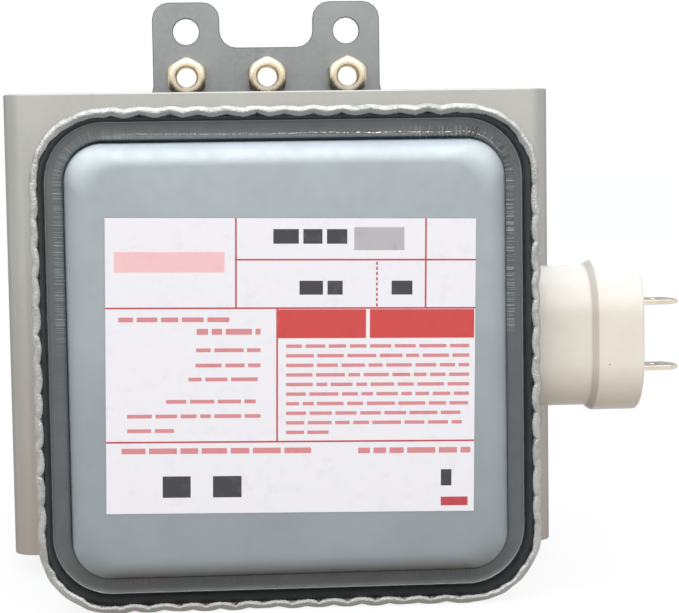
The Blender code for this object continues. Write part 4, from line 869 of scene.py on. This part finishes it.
class MAGNETRON_OT_mounting_plate(bpy.types.Operator):
    """Builds the mounting plate and its three threaded nuts"""
    bl_idname = "magnetron.mounting_plate"
    bl_label = "Mounting plate and nuts"

    def execute(self, context):
        edge = context.scene.magnetron_sheet.edge_round
        sheet = zinc_sheet("zinc_steel_plate_stamped", "#8E9190", "#7F8281", 0.40)
        # the rounded edges get a dark copy of the zinc, painted shade
        painted_dark_edge = zinc_sheet("zinc_steel_edge_painted_shade", "#4C4F4E", "#454847", 0.45)
        refined("mounting_plate_stamped", "mounting_plate", sheet, edge * 0.5,
                edge_material=painted_dark_edge)
        nickel = plated_metal("steel_nickel_plated", "#D9CDB5", "#CBBDA2", 0.29, 1.2, 0.02)
        for number in range(1, 4):
            self.build_nut(number, nickel)
        return {"FINISHED"}

    def build_nut(self, number, nickel):
        """A hexagon whose front corners were upset into a dome, with a threaded bore."""
        node = "nut_%d" % number
        low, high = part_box(node)
        centre = (low + high) / 2
        flats = (high.x - low.x) / 2
        length = high.y - low.y
        rows = []
        for step in range(NUT_SIDE_STEPS + 1):
            y = length * (step / NUT_SIDE_STEPS) ** 2
            fall = math.sqrt(1 - (1 - min(1.0, y / NUT_DOME_DEPTH)) ** 2)
            limit = flats * (NUT_FACE_SHARE + (NUT_CORNER_SHARE - NUT_FACE_SHARE) * fall)
            ring = []
            for i in range(NUT_COLUMNS):
                angle = math.tau * i / NUT_COLUMNS
                hexagon = flats / math.cos(math.remainder(angle, math.pi / 3))
                ring.append((soft_least(hexagon, limit, 0.12 * MM), y, angle))
            rows.append(ring)
        for step in range(NUT_BORE_STEPS + 1):
            y = length * (1 - step / NUT_BORE_STEPS)
            ring = []
            for i in range(NUT_COLUMNS):
                phase = (y / (NUT_THREAD_PITCH * MM) + i / NUT_COLUMNS) % 1.0
                cut = NUT_THREAD_DEPTH * (1 - abs(2 * phase - 1))
                mouth = max(0.0, NUT_BORE_MOUTH - min(y, length - y))
                ring.append((NUT_BORE / 2 + max(cut, mouth), y, math.tau * i / NUT_COLUMNS))
            rows.append(ring)
        bm = bmesh.new()
        rings = [add_ring(bm, [
            (centre.x + radius * math.cos(angle), low.y + y, centre.z + radius * math.sin(angle))
            for radius, y, angle in ring]) for ring in rows]
        loft(bm, rings)
        nut = finish_mesh("hexagon_nut_%d" % number, bm, [nickel], 32)
        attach(nut, BODY)
        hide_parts(node)


# The capacitor

# the case in millimetres: distance along it, and inset from the head's outline
CASE_SECTION = (
    (0.00, 1.20), (0.10, 0.95), (0.30, 0.85), (4.00, 0.85), (8.70, 0.85), (8.98, 0.84),
    (9.12, 0.79), (9.30, 0.69), (10.10, 0.12), (10.30, 0.03), (10.55, 0.00), (13.50, 0.00),
)
CASE_STEP_ROWS = (7, 8)
CASE_COLUMNS = 48
CASE_END_ROUND = 0.6
CASE_END_STEPS = 8
CASE_BORE_INSET = 2.3
TIP_FLAT = 0.05 * MM
TIP_SHOULDER = 1.6 * MM
TIP_CUT = 0.9 * MM
TIP_BEVEL = 1.0 * MM
TIP_NARROWING = 0.72
TIP_THINNING = 0.75
TIP_SHORTENING = 0.3 * MM


class MAGNETRON_OT_capacitor(bpy.types.Operator):
    """Builds the feed-through capacitor's case, its blade tabs and its earth plate, and gives its
    rivets a material
    """
    bl_idname = "magnetron.capacitor"
    bl_label = "Feed-through capacitor"

    def execute(self, context):
        cream = moulded_pbt("pbt_moulded_cream", "#E9E4DC", "#E4DED5", "#8C8274")
        # the ramp's step is a darker copy of the cream, painted shade
        step = moulded_pbt("pbt_moulded_step_painted_shade", "#D3CCC3", "#CDC6BC", "#8C8274")
        tinned = plated_metal("brass_tin_plated", "#E2D7C4", "#D6CAB5", 0.20)
        self.build_case(cream, step)
        # the blades' broad flat faces get a darker copy of the tin, painted shade
        flats = plated_metal("brass_tin_plated_flat_painted_shade", "#6B665C", "#5E594F", 0.30)
        for name in ("terminal_upper", "terminal_lower"):
            tab = refined(name.replace("terminal", "blade_tab"), name, tinned,
                          0.12 * MM, reshape=self.shape_tip)
            tab.data.materials.append(flats)
            for face in tab.data.polygons:
                if abs(face.normal.z) > 0.9:
                    face.material_index = 1
        plate = plated_metal("steel_earth_plate_zinc_plated", "#A2A39F", "#92938F", 0.42)
        refined("earth_plate_stamped", "capacitor_earth_plate", plate, 0.15 * MM)
        for number in range(1, 5):
            give(plate, "capacitor_rivet_%d" % number)
        give(dull_solid("epoxy_cast", "#C9BFA6", "#BDB298", 0.35, 0.8, 0.01), "capacitor_potting")
        give(cream, "capacitor_sleeve")
        return {"FINISHED"}

    def shape_tip(self, bm):
        """Grinds a blade's end: corners cut back further, and the tip thinned like a chisel."""
        end = max(vert.co.x for vert in bm.verts)
        tip = [vert for vert in bm.verts if end - vert.co.x < TIP_FLAT]
        middle = sum((vert.co for vert in tip), Vector()) / len(tip)
        shoulder = [vert for vert in bm.verts if TIP_FLAT < end - vert.co.x < TIP_SHOULDER]
        for vert in shoulder:
            vert.co.x -= TIP_CUT
        for vert in tip:
            vert.co.y = middle.y + (vert.co.y - middle.y) * TIP_NARROWING
        geometry = bm.verts[:] + bm.edges[:] + bm.faces[:]
        bmesh.ops.bisect_plane(
            bm, geom=geometry, plane_co=(end - TIP_BEVEL, 0, 0), plane_no=(1, 0, 0))
        for vert in tip:
            vert.co.x -= TIP_SHORTENING
            vert.co.z = middle.z + (vert.co.z - middle.z) * TIP_THINNING

    def build_case(self, cream, step):
        """The case as one lofted shell: neck, ramp, head with a rounded end, and its bore."""
        low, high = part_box("capacitor_case")
        centre = (low + high) / 2
        length = (high.x - low.x) / MM
        section = list(CASE_SECTION)
        for k in range(CASE_END_STEPS + 1):
            angle = math.pi / 2 * k / CASE_END_STEPS
            section.append((length - CASE_END_ROUND * (1 - math.sin(angle)),
                            CASE_END_ROUND * (1 - math.cos(angle))))
        section += [(length, CASE_BORE_INSET - 0.3), (length - 0.1, CASE_BORE_INSET - 0.08),
                    (length - 0.3, CASE_BORE_INSET), (0.0, CASE_BORE_INSET)]
        bm = bmesh.new()
        rings = []
        for x, inset in section:
            radius = (high.y - low.y) / 2 - inset * MM
            straight = (high.z - low.z) / 2 - inset * MM - radius
            ring = []
            for start, shift in ((0, straight), (math.pi, -straight)):
                for k in range(CASE_COLUMNS):
                    angle = math.pi * k / (CASE_COLUMNS - 1) + start
                    ring.append((low.x + x * MM, centre.y + radius * math.cos(angle),
                                 centre.z + radius * math.sin(angle) + shift))
            rings.append(add_ring(bm, ring))
        loft(bm, rings)
        bm.faces.ensure_lookup_table()
        count = 2 * CASE_COLUMNS
        # the ramp's rows take the darker copy of the cream, painted shade
        for row in CASE_STEP_ROWS:
            for face in bm.faces[row * count:(row + 1) * count]:
                face.material_index = 1
        case = finish_mesh("capacitor_case_moulded", bm, [cream, step], 30)
        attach(case, BODY)
        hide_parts("capacitor_case")


class MAGNETRON_OT_inner_parts(bpy.types.Operator):
    """Gives the magnets, fins, tube and filter parts their materials"""
    bl_idname = "magnetron.inner_parts"
    bl_label = "Magnets, fins and tube"

    def execute(self, context):
        ferrite = dull_solid("ferrite_sintered", "#3A3B3E", "#2E2F32", 0.55, 0.5, 0.03)
        give(ferrite, "magnet_input", "magnet_output", "core_upper", "core_lower")
        aluminium = rolled_aluminium("aluminium_rolled", "#D9DBDD", 0.30)
        give(aluminium, *["cooling_fin_%d" % number for number in range(1, 7)])
        copper = plated_metal("copper_oxygen_free", "#C98362", "#B4704F", 0.28)
        give(copper, "anode_block", "antenna_lead", "strap_input_inner", "strap_input_outer",
             "strap_output_inner", "strap_output_outer", "exhaust_tube")
        iron = plated_metal("iron_nickel_plated", "#B9B7B2", "#A5A39E", 0.33)
        give(iron, "input_pole_piece", "output_pole_piece", "input_sleeve", "output_sleeve",
             "output_seal")
        give(plated_metal("steel_cap_nickel_plated", "#C3C1BC", "#AFADA8", 0.25), "antenna_cap")
        tungsten = plated_metal("tungsten_drawn", "#7C7C80", "#6A6A6E", 0.4)
        give(tungsten, "cathode_filament", "centre_lead", "side_lead", "end_hat_input",
             "end_hat_output")
        alumina = dull_solid("alumina_sintered", "#E9DFD8", "#E1D6CE", 0.40, 0.5, 0.008)
        give(alumina, "output_ceramic", "stem_ceramic", "capacitor_ceramic")
        enamel = plated_metal("copper_wire_enamelled", "#8A3E1C", "#7A3214", 0.25)
        give(enamel, "choke_upper", "choke_lower")
        return {"FINISHED"}


GASKET_WIRE = 0.16 * MM
GASKET_LOOPS = 96
GASKET_LOOP_STEPS = 28
GASKET_SLANT = math.radians(7)
GASKET_CORNER = 1.0 * MM


class MAGNETRON_OT_gasket(bpy.types.Operator):
    """Builds the knitted wire gasket as two families of slanted wire loops round a core"""
    bl_idname = "magnetron.gasket"
    bl_label = "Knitted gasket"

    def execute(self, context):
        low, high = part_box("rf_gasket")
        outer = (high.x - low.x) / 2
        bore = min(math.hypot(vert.co.x - AXIS_X, vert.co.z - AXIS_Z)
                   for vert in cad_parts["rf_gasket"].data.vertices)
        half_width = (outer - bore) / 2
        half_height = (high.y - low.y) / 2
        middle = Vector(((outer + bore) / 2, (low.y + high.y) / 2))
        bm = bmesh.new()
        core = [self.section(k / GASKET_LOOP_STEPS, half_width, half_height, 2.4 * GASKET_WIRE)
                for k in range(GASKET_LOOP_STEPS)]
        rings = [
            add_ring(bm, [self.place(middle, point, math.tau * k / GASKET_LOOPS) for point in core])
            for k in range(GASKET_LOOPS)]
        loft(bm, rings)
        for family in (-1, 1):
            for loop in range(GASKET_LOOPS):
                start = math.tau * (loop + 0.25 * family) / GASKET_LOOPS
                self.add_wire(bm, middle, half_width, half_height, start, family)
        wire = plated_metal("wire_knitted_tinned", "#B9B5AC", "#A19D94", 0.32, 0.4, 0.01)
        gasket = finish_mesh("gasket_knitted", bm, [wire], 60)
        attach(gasket, BODY)
        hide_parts("rf_gasket")
        return {"FINISHED"}

    def section(self, share, half_width, half_height, inset):
        """A point of the rounded section: outwards from the axis, and along it."""
        angle = math.tau * share
        corner = max(GASKET_CORNER - inset, 0.1 * MM)
        reach = Vector((half_width - inset - corner, half_height - inset - corner))
        way = Vector((math.cos(angle), math.sin(angle)))
        box = min(reach.x / max(abs(way.x), 1e-6), reach.y / max(abs(way.y), 1e-6))
        return way * box + way * corner

    def place(self, middle, point, angle):
        """A point of the section, turned round the tube's axis."""
        radius = middle.x + point.x
        return Vector((AXIS_X + radius * math.cos(angle), middle.y + point.y,
                       AXIS_Z + radius * math.sin(angle)))

    def add_wire(self, bm, middle, half_width, half_height, start, family):
        """One slanted closed loop of wire, four-sided; the two families pass over and under."""
        centres = []
        for k in range(GASKET_LOOP_STEPS):
            share = k / GASKET_LOOP_STEPS
            lift = GASKET_WIRE * (1.15 + 0.55 * family * math.cos(math.tau * share * 7))
            point = self.section(share, half_width, half_height, lift)
            angle = start + family * GASKET_SLANT * math.sin(math.tau * share + 0.6)
            centres.append(self.place(middle, point, angle))
        hub = sum(centres, Vector()) / len(centres)
        rings = []
        for k, centre in enumerate(centres):
            along = (centres[(k + 1) % len(centres)] - centres[k - 1]).normalized()
            side = along.cross(centre - hub).normalized()
            lifted = side.cross(along)
            rings.append(add_ring(bm, [
                centre + (side * x + lifted * y) * GASKET_WIRE / 2
                for x, y in ((1, 0), (0, 1), (-1, 0), (0, -1))]))
        loft(bm, rings)


# The stage

# the camera in millimetres from the middle of the hem's face, and its turns in degrees
CAMERA_PLACE = (-11.1, -290.0, 29.9)
CAMERA_TURNS = (-4.25, -3.78, 0.845)
FOCAL_PIXELS = 1850.0
FRAME_WIDTH = 679
FLOOR_REACH = 12.0
FLOOR_GAP = 0.05 * MM
# place and size in metres, share of the key light's power, and colour
LAMPS = (
    ("key_light", (-0.03, -0.62, 0.44), (1.3, 0.48), 1.0, "#FFFDF8"),
    ("top_light", (0.05, -0.10, 0.80), (0.6, 0.4), 0.28, "#F4F8FF"),
)
LAMP_AIM = (0.0, -0.05, 0.05)


def seen_rays(tree):
    """One for the rays that see a surface, by eye, in a reflection or through glass."""
    rays = add_node(tree, "LightPath").outputs
    return combine(tree, "MAXIMUM", rays["Is Camera Ray"], rays["Is Glossy Ray"],
                   rays["Is Transmission Ray"])


class MAGNETRON_OT_stage(bpy.types.Operator):
    """Sets the camera, the floor, the surround and the lights"""
    bl_idname = "magnetron.stage"
    bl_label = "Stage"

    def execute(self, context):
        scene = context.scene
        settings = scene.magnetron_stage
        self.add_camera(scene)
        self.add_floor()
        self.add_surround(scene, settings.sky)
        for name, place, size, share, colour in LAMPS:
            self.add_lamp(name, place, size, settings.key_power * share, colour)
        scene.view_settings.view_transform = "Standard"
        return {"FINISHED"}

    def add_camera(self, scene):
        """The camera at the photograph's place and angle."""
        pitch, yaw, roll = (math.radians(angle) for angle in CAMERA_TURNS)
        turn = (Matrix.Rotation(roll, 3, "Z") @ Matrix.Rotation(pitch, 3, "X")
                @ Matrix.Rotation(yaw, 3, "Y"))
        swap = Matrix(((1, 0, 0), (0, 0, 1), (0, 1, 0)))
        right, up, forward = turn @ swap
        camera = bpy.data.cameras.new("camera")
        camera.sensor_width = 36.0
        camera.lens = FOCAL_PIXELS / FRAME_WIDTH * camera.sensor_width
        camera.clip_start = 0.01
        camera.clip_end = 50.0
        holder = link_object("camera", camera)
        place = HEM_CENTRE + Vector(CAMERA_PLACE) * MM
        facing = Matrix((right, up, -forward)).transposed().to_4x4()
        holder.matrix_world = Matrix.Translation(place) @ facing
        scene.camera = holder

    def add_floor(self):
        """A wide plane just under the object."""
        level = CAD_BOX[0].z - FLOOR_GAP
        corners = [(x * FLOOR_REACH, y * FLOOR_REACH, level)
                   for x, y in ((-1, -1), (1, -1), (1, 1), (-1, 1))]
        material = bpy.data.materials.new("floor_matt_white")
        material.use_nodes = True
        tree = material.node_tree
        tree.nodes.clear()
        seen = seen_rays(tree)
        # white to the eye and in reflections, a calm warm grey for the light that it sheds
        shade = tint(tree, linear("#A89D8E"), seen, "#FFFFFF")
        matt = add_node(tree, "BsdfDiffuse", {"Color": shade})
        white = add_node(tree, "Emission", {"Color": linear("#FFFFFF"), "Strength": 1.0})
        both = add_node(tree, "MixShader", {
            0: product(tree, seen, 0.85), 1: matt.outputs[0], 2: white.outputs[0]})
        add_node(tree, "OutputMaterial", {"Surface": both.outputs[0]})
        mesh = bpy.data.meshes.new("floor")
        mesh.from_pydata(corners, [], [(0, 1, 2, 3)])
        mesh.materials.append(material)
        link_object("floor", mesh)

    def add_surround(self, scene, brightness):
        """White at the horizon, brighter above, and calmer for the light that it sheds."""
        world = bpy.data.worlds.new("surround")
        scene.world = world
        world.use_nodes = True
        tree = world.node_tree
        tree.nodes.clear()
        ray = add_node(tree, "TexCoord").outputs["Generated"]
        height = add_node(tree, "SeparateXYZ", {"Vector": ray}).outputs["Z"]
        level = spread(tree, height, 1.0, 2.0, 0.1, 0.9)
        colour = tint(tree, linear("#FFFFFF"), spread(tree, height, 0.0, 1.0, 0.1, 0.9), "#F1F6FF")
        seen = seen_rays(tree)
        strength = product(tree, level, spread(tree, seen, brightness, 1.0, 0.0, 1.0))
        shine = add_node(tree, "Background", {"Color": colour, "Strength": strength})
        add_node(tree, "OutputWorld", {"Surface": shine.outputs[0]})

    def add_lamp(self, name, place, size, power, colour):
        """A soft rectangular lamp that faces the object."""
        lamp = bpy.data.lights.new(name, "AREA")
        lamp.shape = "RECTANGLE"
        lamp.size, lamp.size_y = size
        lamp.energy = power
        lamp.color = linear(colour)[:3]
        holder = link_object(name, lamp)
        holder.location = place
        aim = Vector(LAMP_AIM) - Vector(place)
        holder.rotation_euler = aim.to_track_quat("-Z", "Y").to_euler()


class MAGNETRON_PT_pieces(bpy.types.Panel):
    """Lists the magnetron's pieces and their settings"""
    bl_label = "Magnetron"
    bl_idname = "MAGNETRON_PT_pieces"
    bl_space_type = "VIEW_3D"
    bl_region_type = "UI"
    bl_category = "Magnetron"

    def draw(self, context):
        layout = self.layout
        for group, kind in GROUPS:
            box = layout.box()
            for name in kind.__annotations__:
                box.prop(getattr(context.scene, group), name)
        for operator in OPERATORS:
            layout.operator(operator.bl_idname)


GROUPS = (
    ("magnetron_lid", MagnetronLidSettings),
    ("magnetron_label", MagnetronLabelSettings),
    ("magnetron_sheet", MagnetronSheetSettings),
    ("magnetron_stage", MagnetronStageSettings),
)
OPERATORS = (
    MAGNETRON_OT_stage,
    MAGNETRON_OT_lid,
    MAGNETRON_OT_label,
    MAGNETRON_OT_yoke,
    MAGNETRON_OT_mounting_plate,
    MAGNETRON_OT_capacitor,
    MAGNETRON_OT_inner_parts,
    MAGNETRON_OT_gasket,
)


def register():
    for name, group in GROUPS:
        bpy.utils.register_class(group)
        setattr(bpy.types.Scene, name, PointerProperty(type=group))
    for kind in (*OPERATORS, MAGNETRON_PT_pieces):
        bpy.utils.register_class(kind)


def unregister():
    for kind in (MAGNETRON_PT_pieces, *reversed(OPERATORS)):
        bpy.utils.unregister_class(kind)
    for name, group in reversed(GROUPS):
        delattr(bpy.types.Scene, name)
        bpy.utils.unregister_class(group)


def main():
    register()
    bpy.ops.magnetron.stage()
    bpy.ops.magnetron.lid()
    bpy.ops.magnetron.label()
    bpy.ops.magnetron.yoke()
    bpy.ops.magnetron.mounting_plate()
    bpy.ops.magnetron.capacitor()
    bpy.ops.magnetron.inner_parts()
    bpy.ops.magnetron.gasket()


if __name__ == "__main__":
    main()
